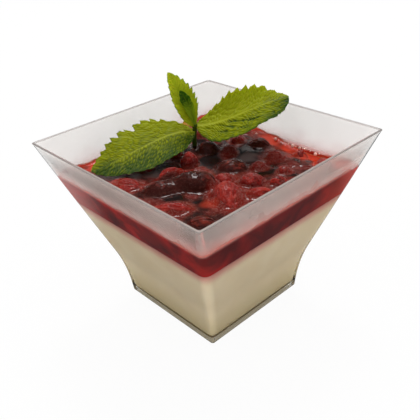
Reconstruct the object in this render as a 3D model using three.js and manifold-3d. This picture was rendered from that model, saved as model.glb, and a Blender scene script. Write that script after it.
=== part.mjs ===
// Coconut panna cotta in a clear square cup, with a berry compote and a sprig of mint
// Units are millimetres and +Z is up. The origin is under the middle of the cup, on the surface it
// stands on, and X and Y run along the sides of the cup.

import * as THREE from 'three';
import { mergeVertices } from 'three/addons/utils/BufferGeometryUtils.js';
import Module from 'manifold-3d';

const wasm = await Module();
wasm.setup();

// Driving sizes of the cup
const RIM_HALF = 40;
const CUP_HEIGHT = 61;
const WALL = 1.1;
const WALL_SLOPE = 0.355;
const FOOT_HALF = 21.5;
const FOOT_HEIGHT = 3;
const FOOT_SLOPE = 0.09;
const BEND_TOP = 18.5;
const BEND_PULL = { half: 22.54, z: 11.76 };
const FLOOR_TOP = 3.2;
const FLOOR_THICK = 1.3;
const FOOT_RING = 1.3;
const OUTER_CORNER = 0.9;
const INNER_CORNER = 2.6;
const BEND_STEPS = 5;
const CORNER_STEPS = 3;

// Driving sizes of what fills it
const GAP = 0.3;
const CREAM_TOP = 39;
const SAUCE_TOP = 49;
const WALL_CLIMB = { height: 0.7, reach: 1.6 };
const SAUCE_SWELL = { height: 0.35, length: 13 };
const SAUCE_SIDE_STEPS = 9;
const SAUCE_RINGS = 7;
const SAUCE_EDGE_BAND = 3;

// Driving sizes of the mint
const STEM = { radius: 0.95, topRadius: 0.8, sides: 8, steps: 6 };
const STEM_FOOT = [-17.4, 10.2, 46.4];
const STEM_BOW = [-17.2, 10.4, 52];
const STEM_TOP = [-16.1, 10.2, 57.6];
const LEAF_THICK = 0.5;
const LEAF_BASE_WIDTH = 0.6;
const LEAF_TIP_WIDTH = 0.25;

// Helpers for closed meshes

function closedGeometry(points, triangles) {
  const geometry = new THREE.BufferGeometry();
  geometry.setAttribute('position', new THREE.Float32BufferAttribute(points.flat(), 3));
  geometry.setIndex(triangles.flat());
  return geometry;
}

function toSolid(geometry) {
  const bare = geometry.clone();
  bare.deleteAttribute('normal');
  bare.deleteAttribute('uv');
  const merged = mergeVertices(bare, 1e-4);
  const vertProperties = new Float32Array(merged.attributes.position.array);
  const triVerts = new Uint32Array(merged.index.array);
  return new wasm.Manifold(new wasm.Mesh({ numProp: 3, vertProperties, triVerts }));
}

function fromSolid(solid) {
  const mesh = solid.getMesh();
  const geometry = new THREE.BufferGeometry();
  const points = [];
  for (let i = 0; i < mesh.vertProperties.length; i += mesh.numProp) {
    points.push(mesh.vertProperties[i], mesh.vertProperties[i + 1], mesh.vertProperties[i + 2]);
  }
  geometry.setAttribute('position', new THREE.Float32BufferAttribute(points, 3));
  geometry.setIndex(Array.from(mesh.triVerts));
  return geometry;
}

// Rings of equal length, from the bottom outside to the last inside, joined into one closed skin
function loft(rings) {
  const count = rings[0].length;
  const points = rings.flat();
  const triangles = [];
  for (let r = 0; r + 1 < rings.length; r += 1) {
    for (let i = 0; i < count; i += 1) {
      const j = (i + 1) % count;
      const a = r * count + i;
      const b = r * count + j;
      triangles.push([a, b, b + count], [a, b + count, a + count]);
    }
  }
  const caps = [[0, true], [rings.length - 1, false]];
  for (const [ring, facesBack] of caps) {
    const centre = new THREE.Vector3();
    rings[ring].forEach((p) => centre.add(new THREE.Vector3(...p)));
    centre.divideScalar(count);
    points.push(centre.toArray());
    const hub = points.length - 1;
    for (let i = 0; i < count; i += 1) {
      const a = ring * count + i;
      const b = ring * count + ((i + 1) % count);
      triangles.push(facesBack ? [hub, b, a] : [hub, a, b]);
    }
  }
  return closedGeometry(points, triangles);
}

// A square with round corners, seen from above and run anticlockwise
function roundedSquare(half, corner, z, sideSteps = 1, cornerSteps = CORNER_STEPS) {
  const ring = [];
  const flat = half - corner;
  for (let side = 0; side < 4; side += 1) {
    const turn = (side * Math.PI) / 2;
    const place = (x, y) => [
      x * Math.cos(turn) - y * Math.sin(turn),
      x * Math.sin(turn) + y * Math.cos(turn),
      z,
    ];
    for (let i = 1; i < sideSteps; i += 1) {
      ring.push(place(half, -flat + (2 * flat * i) / sideSteps));
    }
    for (let i = 0; i <= cornerSteps; i += 1) {
      const angle = ((Math.PI / 2) * i) / cornerSteps;
      ring.push(place(flat + corner * Math.cos(angle), flat + corner * Math.sin(angle)));
    }
  }
  return ring;
}

// The cup: a square foot, a soft outward bend and straight walls that flare to a square rim

const BEND_LOW = { half: FOOT_HALF + FOOT_SLOPE * FOOT_HEIGHT, z: FOOT_HEIGHT };
const BEND_HIGH = { half: RIM_HALF - WALL_SLOPE * (CUP_HEIGHT - BEND_TOP), z: BEND_TOP };

function bendPoint(t) {
  const low = (1 - t) ** 2;
  const mid = 2 * t * (1 - t);
  const high = t * t;
  return {
    half: low * BEND_LOW.half + mid * BEND_PULL.half + high * BEND_HIGH.half,
    z: low * BEND_LOW.z + mid * BEND_PULL.z + high * BEND_HIGH.z,
  };
}

function bendParameter(z) {
  const curve = BEND_LOW.z - 2 * BEND_PULL.z + BEND_HIGH.z;
  const slope = 2 * (BEND_PULL.z - BEND_LOW.z);
  const root = Math.sqrt(slope * slope - 4 * curve * (BEND_LOW.z - z));
  return (root - slope) / (2 * curve);
}

// Half the outer width of the cup at a height
function outerHalf(z) {
  if (z <= BEND_LOW.z) return FOOT_HALF + FOOT_SLOPE * z;
  if (z >= BEND_HIGH.z) return RIM_HALF - WALL_SLOPE * (CUP_HEIGHT - z);
  return bendPoint(bendParameter(z)).half;
}

const innerHalf = (z) => outerHalf(z) - WALL;

function bendHeights() {
  return Array.from({ length: BEND_STEPS + 1 }, (_, i) => bendPoint(i / BEND_STEPS).z);
}

function cupGeometry() {
  const recess = FOOT_HALF - FOOT_RING;
  const recessTop = FLOOR_TOP - FLOOR_THICK;
  const rings = [
    roundedSquare(recess, INNER_CORNER - 1, recessTop),
    roundedSquare(recess, INNER_CORNER - 1, 0),
  ];
  for (const z of [0, ...bendHeights(), CUP_HEIGHT]) {
    rings.push(roundedSquare(outerHalf(z), OUTER_CORNER, z));
  }
  const inside = [CUP_HEIGHT, ...bendHeights().reverse().filter((z) => z > FLOOR_TOP), FLOOR_TOP];
  for (const z of inside) {
    rings.push(roundedSquare(innerHalf(z), INNER_CORNER, z));
  }
  return loft(rings);
}

// The panna cotta: what the lower cup holds, clear of its walls and floor
function creamGeometry() {
  const floor = FLOOR_TOP + GAP;
  const heights = [floor, ...bendHeights().filter((z) => z > floor), CREAM_TOP];
  return loft(heights.map((z) => roundedSquare(innerHalf(z) - GAP, INNER_CORNER, z)));
}

// The compote's jelly: a slab that climbs a little at the wall, with a soft swell in its top

function sauceHeight(x, y, half) {
  const fromWall = half - Math.max(Math.abs(x), Math.abs(y));
  const climb = WALL_CLIMB.height * Math.exp(-fromWall / WALL_CLIMB.reach);
  const wave = (2 * Math.PI) / SAUCE_SWELL.length;
  const swell = Math.sin(wave * x + 0.8) * Math.cos(wave * 0.8 * y - 0.4);
  return SAUCE_TOP + climb + SAUCE_SWELL.height * swell;
}

function sauceGeometry() {
  const ring = (half, corner, z) => roundedSquare(half, corner, z, SAUCE_SIDE_STEPS);
  const low = CREAM_TOP + GAP;
  const lowHalf = innerHalf(low) - GAP;
  const topHalf = innerHalf(SAUCE_TOP) - GAP;
  const rings = [
    ring(lowHalf / 2, INNER_CORNER / 2, low),
    ring(lowHalf, INNER_CORNER, low),
  ];
  for (let i = 0; i < SAUCE_RINGS; i += 1) {
    const t = i / SAUCE_RINGS;
    const inset = i < 2 ? (SAUCE_EDGE_BAND * i) / 2 : SAUCE_EDGE_BAND + (topHalf - SAUCE_EDGE_BAND) * t;
    const half = topHalf - Math.min(inset, topHalf * 0.93);
    const corner = (INNER_CORNER * half) / topHalf;
    const flat = ring(half, corner, 0);
    rings.push(flat.map(([x, y]) => [x, y, sauceHeight(x, y, topHalf)]));
  }
  return loft(rings);
}

// The fruit: each piece is a lumpy ellipsoid, sunk in the jelly with its top showing
// at is its middle from above, top its highest point, half its half sizes across, deep and up,
// turn its bearing in degrees, lumps how many swellings it has round it and how strong they are

const CHERRY = { around: 12, rows: 8, lumps: [2, 0.05], color: 0x3a0d12, roughness: 0.2 };
const FRUIT_PIECE = { around: 10, rows: 7, lumps: [3, 0.1], color: 0x9c1620, roughness: 0.3 };
const RED_BERRY = { around: 9, rows: 6, lumps: [3, 0.04], color: 0x8c141c, roughness: 0.2 };

const FRUIT = [
  { name: 'cherry_1', kind: CHERRY, at: [4.2, -9.6], top: 53, half: [7.2, 6, 5.4], turn: 40 },
  { name: 'cherry_2', kind: CHERRY, at: [-1, -18.9], top: 51.5, half: [6.4, 4.4, 4.2], turn: 50 },
  { name: 'cherry_3', kind: CHERRY, at: [5, 7], top: 51.5, half: [5.6, 4.4, 4], turn: 50 },
  { name: 'cherry_4', kind: CHERRY, at: [-10.6, 10.8], top: 52, half: [4.4, 4, 4], turn: 45 },
  { name: 'cherry_5', kind: CHERRY, at: [23, -23.5], top: 50.6, half: [4.6, 3.6, 3.4], turn: 30 },
  { name: 'cherry_6', kind: CHERRY, at: [0, 26], top: 51.3, half: [3.6, 3.3, 3.2], turn: 20 },
  { name: 'cherry_7', kind: CHERRY, at: [-25.5, 4], top: 52, half: [5.4, 4.6, 4.4], turn: 80 },
  { name: 'cherry_8', kind: CHERRY, at: [-27, 26.5], top: 51.4, half: [4.8, 4, 3.8], turn: 120 },
  { name: 'cherry_9', kind: CHERRY, at: [29, -10], top: 51, half: [3.8, 3.4, 3.4], turn: 70 },
  { name: 'fruit_piece_1', kind: FRUIT_PIECE, at: [18, -8.8], top: 52, half: [5.5, 8, 4.7], turn: 50 },
  { name: 'fruit_piece_2', kind: FRUIT_PIECE, at: [24, -0.8], top: 51.1, half: [4.8, 2.8, 3.2], turn: 60 },
  { name: 'fruit_piece_3', kind: FRUIT_PIECE, at: [-12, -24.8], top: 51.1, half: [6, 4.4, 4], turn: 40 },
  { name: 'fruit_piece_4', kind: FRUIT_PIECE, at: [11, -24.4], top: 50.8, half: [6.4, 4, 3.4], turn: 45 },
  { name: 'fruit_piece_5', kind: FRUIT_PIECE, at: [-5.8, -11], top: 51.3, half: [5.2, 2.1, 2.8], turn: 80 },
  { name: 'fruit_piece_6', kind: FRUIT_PIECE, at: [8.8, -1], top: 50.7, half: [4, 2.8, 3], turn: 50 },
  { name: 'fruit_piece_7', kind: FRUIT_PIECE, at: [-24, -8.5], top: 51.2, half: [4.8, 3.8, 3.4], turn: 20 },
  { name: 'fruit_piece_8', kind: FRUIT_PIECE, at: [-12.5, 30.5], top: 50.9, half: [5, 3, 3.2], turn: 5 },
  { name: 'fruit_piece_9', kind: FRUIT_PIECE, at: [27.5, 27], top: 50.9, half: [4.4, 3, 3], turn: -40 },
  { name: 'red_berry_1', kind: RED_BERRY, at: [-7.6, -1.1], top: 53.2, half: [2.9, 2.9, 3], turn: 0 },
  { name: 'red_berry_2', kind: RED_BERRY, at: [11, 21.2], top: 51.4, half: [3.6, 3.2, 3.2], turn: 45 },
  { name: 'red_berry_3', kind: RED_BERRY, at: [17.2, 3.4], top: 51.7, half: [4.4, 3.4, 3.6], turn: 45 },
  { name: 'red_berry_4', kind: RED_BERRY, at: [12, 12.4], top: 51.1, half: [3, 2.6, 3], turn: 50 },
  { name: 'red_berry_5', kind: RED_BERRY, at: [20.4, 15.4], top: 50.9, half: [2.6, 2.3, 2.7], turn: 30 },
  { name: 'red_berry_6', kind: RED_BERRY, at: [23.4, 8.4], top: 51.1, half: [3, 2.3, 2.8], turn: 60 },
  { name: 'red_berry_7', kind: RED_BERRY, at: [-3.4, 14.2], top: 51.6, half: [3, 2.9, 3.2], turn: 10 },
  { name: 'red_berry_8', kind: RED_BERRY, at: [-7.8, 22.8], top: 50.9, half: [3, 2.6, 2.8], turn: 45 },
  { name: 'red_berry_9', kind: RED_BERRY, at: [16.4, 28.4], top: 50.6, half: [2.7, 2.4, 2.6], turn: 45 },
  { name: 'red_berry_10', kind: RED_BERRY, at: [-16.5, -12.5], top: 51, half: [3.2, 3, 3], turn: 0 },
  { name: 'red_berry_11', kind: RED_BERRY, at: [-21.5, 18.5], top: 51.2, half: [3.4, 3, 3], turn: 30 },
  { name: 'red_berry_12', kind: RED_BERRY, at: [-16.5, 0.5], top: 51.1, half: [3, 2.7, 3], turn: 70 },
  { name: 'red_berry_13', kind: RED_BERRY, at: [-30, -17], top: 50.5, half: [2.6, 2.3, 2.7], turn: 90 },
  { name: 'red_berry_14', kind: RED_BERRY, at: [30, 17], top: 50.8, half: [2.8, 2.4, 2.8], turn: 60 },
  { name: 'red_berry_15', kind: RED_BERRY, at: [1, -29.5], top: 50.7, half: [3, 2.6, 2.8], turn: 10 },
];

// grow thickens the piece on every side, which gives the pocket that it lies in
function fruitGeometry(piece, grow = 0) {
  const { around, rows, lumps: [lumpCount, lumpDepth] } = piece.kind;
  const geometry = new THREE.SphereGeometry(1, around, rows);
  geometry.rotateX(Math.PI / 2);
  const position = geometry.attributes.position;
  const phase = piece.at[0] + piece.at[1];
  for (let i = 0; i < position.count; i += 1) {
    const ray = new THREE.Vector3().fromBufferAttribute(position, i);
    const bearing = Math.atan2(ray.y, ray.x);
    const level = Math.hypot(ray.x, ray.y);
    const lump = 1 + lumpDepth * level * Math.sin(lumpCount * bearing + phase + 2 * ray.z);
    position.setXYZ(
      i,
      ray.x * (piece.half[0] * lump + grow),
      ray.y * (piece.half[1] * lump + grow),
      ray.z * (piece.half[2] + grow),
    );
  }
  geometry.rotateZ(THREE.MathUtils.degToRad(piece.turn));
  geometry.translate(piece.at[0], piece.at[1], piece.top - piece.half[2]);
  return geometry;
}

// Mint leaves: a blade laid on a midrib curve, with saw teeth along both edges
// base to tip are the midrib's four control points, up the blade's upward direction at base and
// tip, reach its width each side of the midrib, fold each side's slope, droop its curl,
// widest how far along the blade is widest, ends how blunt its base and tip are

const LEAVES = [
  {
    midrib: [[-16.3, 10, 55], [-19.2, -0.7, 58.7], [-19.7, -16.8, 53.2], [-24.6, -28.8, 51.4]],
    up: [[0.19, -0.04, 1], [0.18, -0.08, 1]],
    reach: [12, 10.6],
    fold: [-0.1, 0.03],
    droop: -0.14,
    widest: 0.46,
    ends: [0.58, 0.76],
    teeth: 11,
    steps: 33,
    across: 6,
    ripple: 0.35,
  },
  {
    midrib: [[-16, 10.4, 57.2], [-9.3, 17.5, 56.3], [0.1, 23.5, 65], [6.2, 34.1, 66.1]],
    up: [[0.29, -0.55, 1], [0.22, -0.06, 1]],
    reach: [9.1, 14],
    fold: [-0.19, -0.24],
    droop: -0.53,
    widest: 0.53,
    ends: [0.64, 0.72],
    teeth: 10,
    steps: 30,
    across: 6,
    ripple: 0.35,
  },
  {
    midrib: [[-16.1, 10.3, 56.9], [-17.8, 7.9, 61.3], [-18.3, 6.3, 69.7], [-23, 5.5, 76]],
    up: [[1.32, -0.38, 1], [1.31, -0.54, 1]],
    reach: [5.1, 5],
    fold: [0.51, 0.21],
    droop: -0.08,
    widest: 0.48,
    ends: [0.63, 0.79],
    teeth: 8,
    steps: 24,
    across: 4,
    ripple: 0.15,
  },
  {
    midrib: [[-15.8, 10, 56.9], [-15.2, 8.9, 60.4], [-14.6, 7.4, 64.6], [-15.4, 4.2, 69.4]],
    up: [[0.9, -1.2, 0.5], [0.9, -1.2, 0.9]],
    reach: [2.3, 2.3],
    fold: [0.35, 0.35],
    droop: 0,
    widest: 0.66,
    ends: [0.9, 0.7],
    teeth: 4,
    steps: 12,
    across: 4,
    ripple: 0,
  },
];

// The blade's width along its length, from 0 at the ends to 1 where it is widest
function bladeShape(u, leaf) {
  const beforeWidest = u < leaf.widest;
  const warped = beforeWidest
    ? (0.5 * u) / leaf.widest
    : 0.5 + (0.5 * (u - leaf.widest)) / (1 - leaf.widest);
  return Math.sin(Math.PI * warped) ** leaf.ends[beforeWidest ? 0 : 1];
}

const TOOTH_DEPTH = 0.1;
const EDGE_SWEEP = 0.035;

function leafGeometry(leaf) {
  const [p0, p1, p2, p3] = leaf.midrib.map((p) => new THREE.Vector3(...p));
  const midrib = new THREE.CubicBezierCurve3(p0, p1, p2, p3);
  const length = p0.distanceTo(p3);
  const [upBase, upTip] = leaf.up.map((p) => new THREE.Vector3(...p));
  const rows = leaf.steps + 1;
  const columns = leaf.across + 1;
  const upper = [];
  const lower = [];
  for (let i = 0; i < rows; i += 1) {
    const u = i / leaf.steps;
    const along = midrib.getTangent(u);
    const up = upBase.clone().lerp(upTip, u);
    up.addScaledVector(along, -up.dot(along)).normalize();
    const side = along.clone().cross(up);
    const shape = bladeShape(u, leaf);
    const tooth = ((u * leaf.teeth) % 1) - 0.5;
    for (let j = 0; j < columns; j += 1) {
      const v = (2 * j) / leaf.across - 1;
      const edge = Math.abs(v);
      const half = v < 0 ? 0 : 1;
      const reach = leaf.reach[half];
      const fold = leaf.fold[half];
      const narrowest = THREE.MathUtils.lerp(LEAF_BASE_WIDTH, LEAF_TIP_WIDTH, u);
      const width = Math.max(reach * shape * (1 + edge * TOOTH_DEPTH * tooth), narrowest);
      const out = v * width;
      const curl = (leaf.droop * out * out) / reach;
      const ripple = leaf.ripple * edge * edge * shape * Math.sin(6 * Math.PI * u + 1.3 * half);
      const point = midrib.getPoint(u);
      point.addScaledVector(side, out / Math.hypot(1, fold));
      point.addScaledVector(up, Math.abs(out) * fold - curl + ripple);
      point.addScaledVector(along, edge * edge * EDGE_SWEEP * length * shape);
      upper.push(point.clone().addScaledVector(up, LEAF_THICK / 2).toArray());
      lower.push(point.clone().addScaledVector(up, -LEAF_THICK / 2).toArray());
    }
  }
  return sheetSkin(upper, lower, rows, columns);
}

// Two like grids of points and the band round their edge, as one closed skin
function sheetSkin(upper, lower, rows, columns) {
  const triangles = [];
  const under = upper.length;
  const quad = (a, b, c, d) => triangles.push([a, b, c], [a, c, d]);
  for (let i = 0; i + 1 < rows; i += 1) {
    for (let j = 0; j + 1 < columns; j += 1) {
      const a = i * columns + j;
      const b = a + 1;
      const c = b + columns;
      const d = a + columns;
      quad(a, b, c, d);
      triangles.push([under + a, under + c, under + b], [under + a, under + d, under + c]);
    }
  }
  const rim = [];
  for (let j = 0; j < columns; j += 1) rim.push(j);
  for (let i = 1; i < rows; i += 1) rim.push(i * columns + columns - 1);
  for (let j = columns - 2; j >= 0; j -= 1) rim.push((rows - 1) * columns + j);
  for (let i = rows - 2; i > 0; i -= 1) rim.push(i * columns);
  rim.forEach((a, k) => {
    const b = rim[(k + 1) % rim.length];
    quad(a, under + a, under + b, b);
  });
  return outwards(closedGeometry([...upper, ...lower], triangles));
}

// Turns every triangle over where the skin's volume comes out negative
function outwards(geometry) {
  const position = geometry.attributes.position;
  const index = Array.from(geometry.index.array);
  const corner = (i) => new THREE.Vector3().fromBufferAttribute(position, index[i]);
  let volume = 0;
  for (let i = 0; i < index.length; i += 3) {
    volume += corner(i).dot(corner(i + 1).cross(corner(i + 2)));
  }
  if (volume < 0) index.reverse();
  geometry.setIndex(index);
  return geometry;
}

// The stem: rings carried up a bowed line from its foot in the jelly to the leaves
function stemGeometry(grow = 0) {
  const line = new THREE.QuadraticBezierCurve3(
    new THREE.Vector3(...STEM_FOOT),
    new THREE.Vector3(...STEM_BOW),
    new THREE.Vector3(...STEM_TOP),
  );
  const rings = [];
  for (let i = 0; i <= STEM.steps; i += 1) {
    const u = i / STEM.steps;
    const centre = line.getPoint(u);
    const radius = THREE.MathUtils.lerp(STEM.radius, STEM.topRadius, u) + grow;
    const lift = i === 0 ? -grow : 0;
    const ring = [];
    for (let k = 0; k < STEM.sides; k += 1) {
      const angle = (2 * Math.PI * k) / STEM.sides;
      const x = centre.x + radius * Math.cos(angle);
      const y = centre.y + radius * Math.sin(angle);
      ring.push([x, y, centre.z + lift]);
    }
    rings.push(ring);
  }
  return loft(rings);
}

function mintGeometry() {
  let sprig = toSolid(stemGeometry());
  for (const leaf of LEAVES) sprig = sprig.add(toSolid(leafGeometry(leaf)));
  return fromSolid(sprig);
}

// Each later piece of fruit gives way to those before it, and the jelly to all of them
function fruitSolids() {
  const solids = [];
  FRUIT.forEach((piece, i) => {
    let solid = toSolid(fruitGeometry(piece));
    for (const earlier of FRUIT.slice(0, i)) {
      solid = solid.subtract(toSolid(fruitGeometry(earlier, GAP)));
    }
    solids.push(solid);
  });
  return solids;
}

function sauceSolid() {
  let solid = toSolid(sauceGeometry());
  for (const piece of FRUIT) solid = solid.subtract(toSolid(fruitGeometry(piece, GAP)));
  return solid.subtract(toSolid(stemGeometry(GAP)));
}

// The whole cup, one named mesh for each piece

const dessert = new THREE.Group();

function place(name, geometry, color, roughness, settings = {}) {
  const material = new THREE.MeshStandardMaterial({ color, roughness, metalness: 0, ...settings });
  const mesh = new THREE.Mesh(geometry, material);
  mesh.name = name;
  dessert.add(mesh);
}

place('cup', cupGeometry(), 0xe6e4e2, 0.08, { transparent: true, opacity: 0.35 });
place('panna_cotta', creamGeometry(), 0xe9dfc4, 0.45);
place('berry_sauce', fromSolid(sauceSolid()), 0x6e1016, 0.12);
fruitSolids().forEach((solid, i) => {
  const { name, kind } = FRUIT[i];
  place(name, fromSolid(solid), kind.color, kind.roughness);
});
place('mint_sprig', mintGeometry(), 0x5f8a2a, 0.5);

export default dessert;
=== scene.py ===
"""Coconut panna cotta in a clear square cup, with a berry compote and a sprig of mint.

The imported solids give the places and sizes. Every visible piece is built here as a smooth numpy
surface in the same frame, in metres, with +Z up and the origin under the middle of the cup.
Sizes in fields and docstrings are millimetres.
"""

from __future__ import annotations

import logging
import math
from dataclasses import dataclass
from enum import Enum
from functools import cache

import bpy
import numpy as np
from bpy.types import Material, Mesh, Node, NodeSocket, NodeTree, Object
from mathutils import Matrix, Vector

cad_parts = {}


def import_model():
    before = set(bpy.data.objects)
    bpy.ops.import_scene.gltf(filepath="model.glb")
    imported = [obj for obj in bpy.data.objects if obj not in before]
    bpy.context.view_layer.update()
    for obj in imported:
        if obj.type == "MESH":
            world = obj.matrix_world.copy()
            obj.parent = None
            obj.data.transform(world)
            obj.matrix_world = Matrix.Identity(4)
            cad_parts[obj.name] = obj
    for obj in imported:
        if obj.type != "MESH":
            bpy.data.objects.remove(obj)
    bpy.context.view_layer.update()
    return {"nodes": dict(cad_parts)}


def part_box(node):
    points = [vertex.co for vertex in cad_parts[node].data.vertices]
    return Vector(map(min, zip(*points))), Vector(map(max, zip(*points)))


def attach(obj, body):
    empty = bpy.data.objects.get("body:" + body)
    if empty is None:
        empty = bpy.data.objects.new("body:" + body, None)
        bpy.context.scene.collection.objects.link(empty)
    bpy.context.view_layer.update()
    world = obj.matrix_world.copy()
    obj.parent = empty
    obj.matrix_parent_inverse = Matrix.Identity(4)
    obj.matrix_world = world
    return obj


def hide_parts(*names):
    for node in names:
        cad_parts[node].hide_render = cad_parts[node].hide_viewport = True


LOG = logging.getLogger("panna_cotta_cup")
MM = 0.001
BODY = "root"
TAU = 2 * math.pi
Array = np.ndarray
Pair = tuple[float, float]
Point = tuple[float, float, float]
Spots = tuple[tuple[float, ...], ...]
Stops = tuple[tuple[float, str], ...]
CAMERA_AZIMUTH = math.radians(47.718)


# Meshes from grids


def grid_faces(rows: int, columns: int, wrap: bool = False) -> Array:
    """Quads between the neighbouring points of a grid.

    Args:
        rows: Number of grid rows.
        columns: Number of points in a row.
        wrap: Whether the last column joins the first.

    Returns:
        An array of four point numbers for each quad.
    """
    last = columns if wrap else columns - 1
    row, column = np.meshgrid(np.arange(rows - 1), np.arange(last), indexing="ij")
    after = (column + 1) % columns
    a, b = row * columns + column, row * columns + after
    return np.stack([a, b, b + columns, a + columns], -1).reshape(-1, 4)


def tube_faces(rows: int, around: int) -> list[Array]:
    """Faces of a closed tube: quads between its rings, and a fan to a hub point at each end.

    Args:
        rows: Number of rings.
        around: Number of points in a ring. The two hub points follow the last ring.

    Returns:
        The quads and the triangles.
    """
    size = rows * around
    here = np.arange(around)
    after = (here + 1) % around
    first = np.stack([np.full(around, size), after, here], -1)
    last = np.stack([np.full(around, size + 1), here + size - around, after + size - around], -1)
    return [grid_faces(rows, around, wrap=True), np.concatenate([first, last])]


def closed_loft(rings: Array) -> tuple[Array, list[Array]]:
    """Joins rings into one closed skin, with a hub point in the middle of the first and last.

    Args:
        rings: The points, as rings by points by three.

    Returns:
        The points, and the arrays of quads and triangles.
    """
    points = np.concatenate([rings.reshape(-1, 3), rings[[0, -1]].mean(1)])
    return points, tube_faces(*rings.shape[:2])


def unit_ball(rows: int, around: int) -> tuple[Array, list[Array]]:
    """A closed ball of radius one, as rings between its two poles.

    Args:
        rows: Number of rings.
        around: Number of points in a ring.

    Returns:
        The points, and the arrays of quads and triangles.
    """
    bearing, polar = np.meshgrid(np.arange(around) * TAU / around, np.linspace(math.pi, 0, rows + 2)[1:-1])
    rays = np.stack([np.cos(bearing) * np.sin(polar), np.sin(bearing) * np.sin(polar), np.cos(polar)], -1)
    return np.concatenate([rays.reshape(-1, 3), [[0, 0, -1.0], [0, 0, 1.0]]]), tube_faces(rows, around)


def make_piece(name: str, points: Array, faces: list[Array], replaces: tuple[str, ...],
               finishes: list[Finish], marks: dict[str, Array] | None = None) -> Mesh:
    """Puts points and faces into a smooth mesh that rides on the cup.

    Args:
        name: Name of the piece.
        points: Point places, one row each.
        faces: Arrays of point numbers, one array for each number of corners.
        replaces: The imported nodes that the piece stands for.
        finishes: Its finishes, the first for all faces unless the caller says otherwise.
        marks: Named values for each point, kept as attributes for the materials.

    Returns:
        The new mesh.
    """
    mesh = bpy.data.meshes.new(name)
    corners = np.concatenate([f.ravel() for f in faces]).astype(np.int32)
    totals = np.concatenate([np.full(len(f), f.shape[1]) for f in faces]).astype(np.int32)
    mesh.vertices.add(len(points))
    mesh.vertices.foreach_set("co", (points * MM).astype(np.float32).ravel())
    mesh.loops.add(len(corners))
    mesh.loops.foreach_set("vertex_index", corners)
    mesh.polygons.add(len(totals))
    mesh.polygons.foreach_set("loop_start", np.concatenate([[0], np.cumsum(totals)[:-1]]).astype(np.int32))
    mesh.polygons.foreach_set("loop_total", totals)
    mesh.update(calc_edges=True)
    mesh.polygons.foreach_set("use_smooth", np.ones(len(totals), bool))
    for mark, values in (marks or {}).items():
        attribute = mesh.attributes.new(mark, "FLOAT", "POINT")
        attribute.data.foreach_set("value", values.astype(np.float32).ravel())
    for finish in finishes:
        mesh.materials.append(finish.material())
    piece = bpy.data.objects.new(name, mesh)
    bpy.context.scene.collection.objects.link(piece)
    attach(piece, BODY)
    if replaces:
        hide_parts(*replaces)
    LOG.info("%s: %d faces", name, len(totals))
    return mesh


# Shapes in numbers


def soft_field(points: Array, wavelength: float, seed: int, waves: int = 14) -> Array:
    """A smooth random field: a sum of plane waves of about one length in seeded directions.

    Args:
        points: Places, with the coordinates last.
        wavelength: Mean distance between crests, in the points' units.
        seed: Seed of the draw.
        waves: Number of waves summed.

    Returns:
        One value for each place, mostly between -1 and 1.
    """
    draw = np.random.default_rng(seed)
    ways = unit(draw.normal(size=(waves, points.shape[-1])))
    ways *= TAU / wavelength * draw.uniform(0.75, 1.35, size=(waves, 1))
    phases = draw.uniform(0, TAU, size=waves)
    return np.sin(points @ ways.T + phases).sum(-1) / math.sqrt(waves)


def cell_distances(points: Array, seed: int) -> tuple[Array, Array]:
    """Distances to the nearest and second nearest of the seeds strewn one to a unit square.

    Args:
        points: Places in the plane, coordinates last, in units of one cell.
        seed: Seed of the draw, which repeats after a block of squares.

    Returns:
        The two distances, in cells.
    """
    block = (97, 89)
    strewn = np.random.default_rng(seed).uniform(0.1, 0.9, size=(*block, 2))
    home = np.floor(points).astype(int)
    first = np.full(points.shape[:-1], 9.0)
    second = first.copy()
    for step in np.ndindex(3, 3):
        square = home + np.array(step) - 1
        spot = square + strewn[square[..., 0] % block[0], square[..., 1] % block[1]]
        distance = np.linalg.norm(points - spot, axis=-1)
        second = np.minimum(second, np.maximum(first, distance))
        first = np.minimum(first, distance)
    return first, second


def unit(vectors: Array) -> Array:
    """The vectors scaled to length one."""
    return vectors / np.linalg.norm(vectors, axis=-1, keepdims=True)


def smooth_step(low: float, high: float, value: Array) -> Array:
    """0 at low and before it, 1 at high and beyond, and a smooth way between them."""
    t = np.clip((value - low) / (high - low), 0, 1)
    return t * t * (3 - 2 * t)


def bell(distance: Array, width: float) -> Array:
    """1 at distance 0, falling away on both sides as a bell of the given width."""
    return np.exp(-((distance / width) ** 2))


def turned(points: Array, angle: float) -> Array:
    """The points, with two or three coordinates, turned anticlockwise about the upright axis.

    Args:
        points: Places, with the coordinates last.
        angle: The turn in radians.

    Returns:
        The turned places.
    """
    c, s = math.cos(angle), math.sin(angle)
    x, y = points[..., 0], points[..., 1]
    return np.concatenate([np.stack([x * c - y * s, x * s + y * c], -1), points[..., 2:]], -1)


def spotted(xy: Array, spots: Spots, fade: Pair,
            ragged: Array) -> Array:
    """The strongest at each place of several round spots.

    Args:
        xy: Places in the plane, coordinates last.
        spots: Each spot's x, y, radius and strength.
        fade: Shares of the radius at which a spot ends and is full.
        ragged: What is added to the share, for an uneven edge.

    Returns:
        One value for each place.
    """
    return np.max([
        strength * smooth_step(*fade, np.hypot(xy[..., 0] - x, xy[..., 1] - y) / radius + ragged)
        for x, y, radius, strength in spots
    ], axis=0)


# Materials

# Settings that all nodes of a kind share here, and the output that is used where it isn't the first
KIND_SETTINGS = {"Mix": {"data_type": "RGBA"}, "Math": {"operation": "MULTIPLY_ADD"}}
KIND_OUTPUT = {"Mix": "Result", "TexCoord": "Object", "Attribute": "Fac"}
SKIN_AND_COAT = ("Normal", "Coat Normal")


def colour(hex_code: str) -> tuple[float, float, float, float]:
    """An sRGB hex colour as a linear one.

    Args:
        hex_code: Its six digits.

    Returns:
        Red, green, blue and alpha.
    """
    values = [int(hex_code[i:i + 2], 16) / 255 for i in (0, 2, 4)]
    linear = [v / 12.92 if v <= 0.04045 else ((v + 0.055) / 1.055) ** 2.4 for v in values]
    return (*linear, 1.0)


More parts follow.
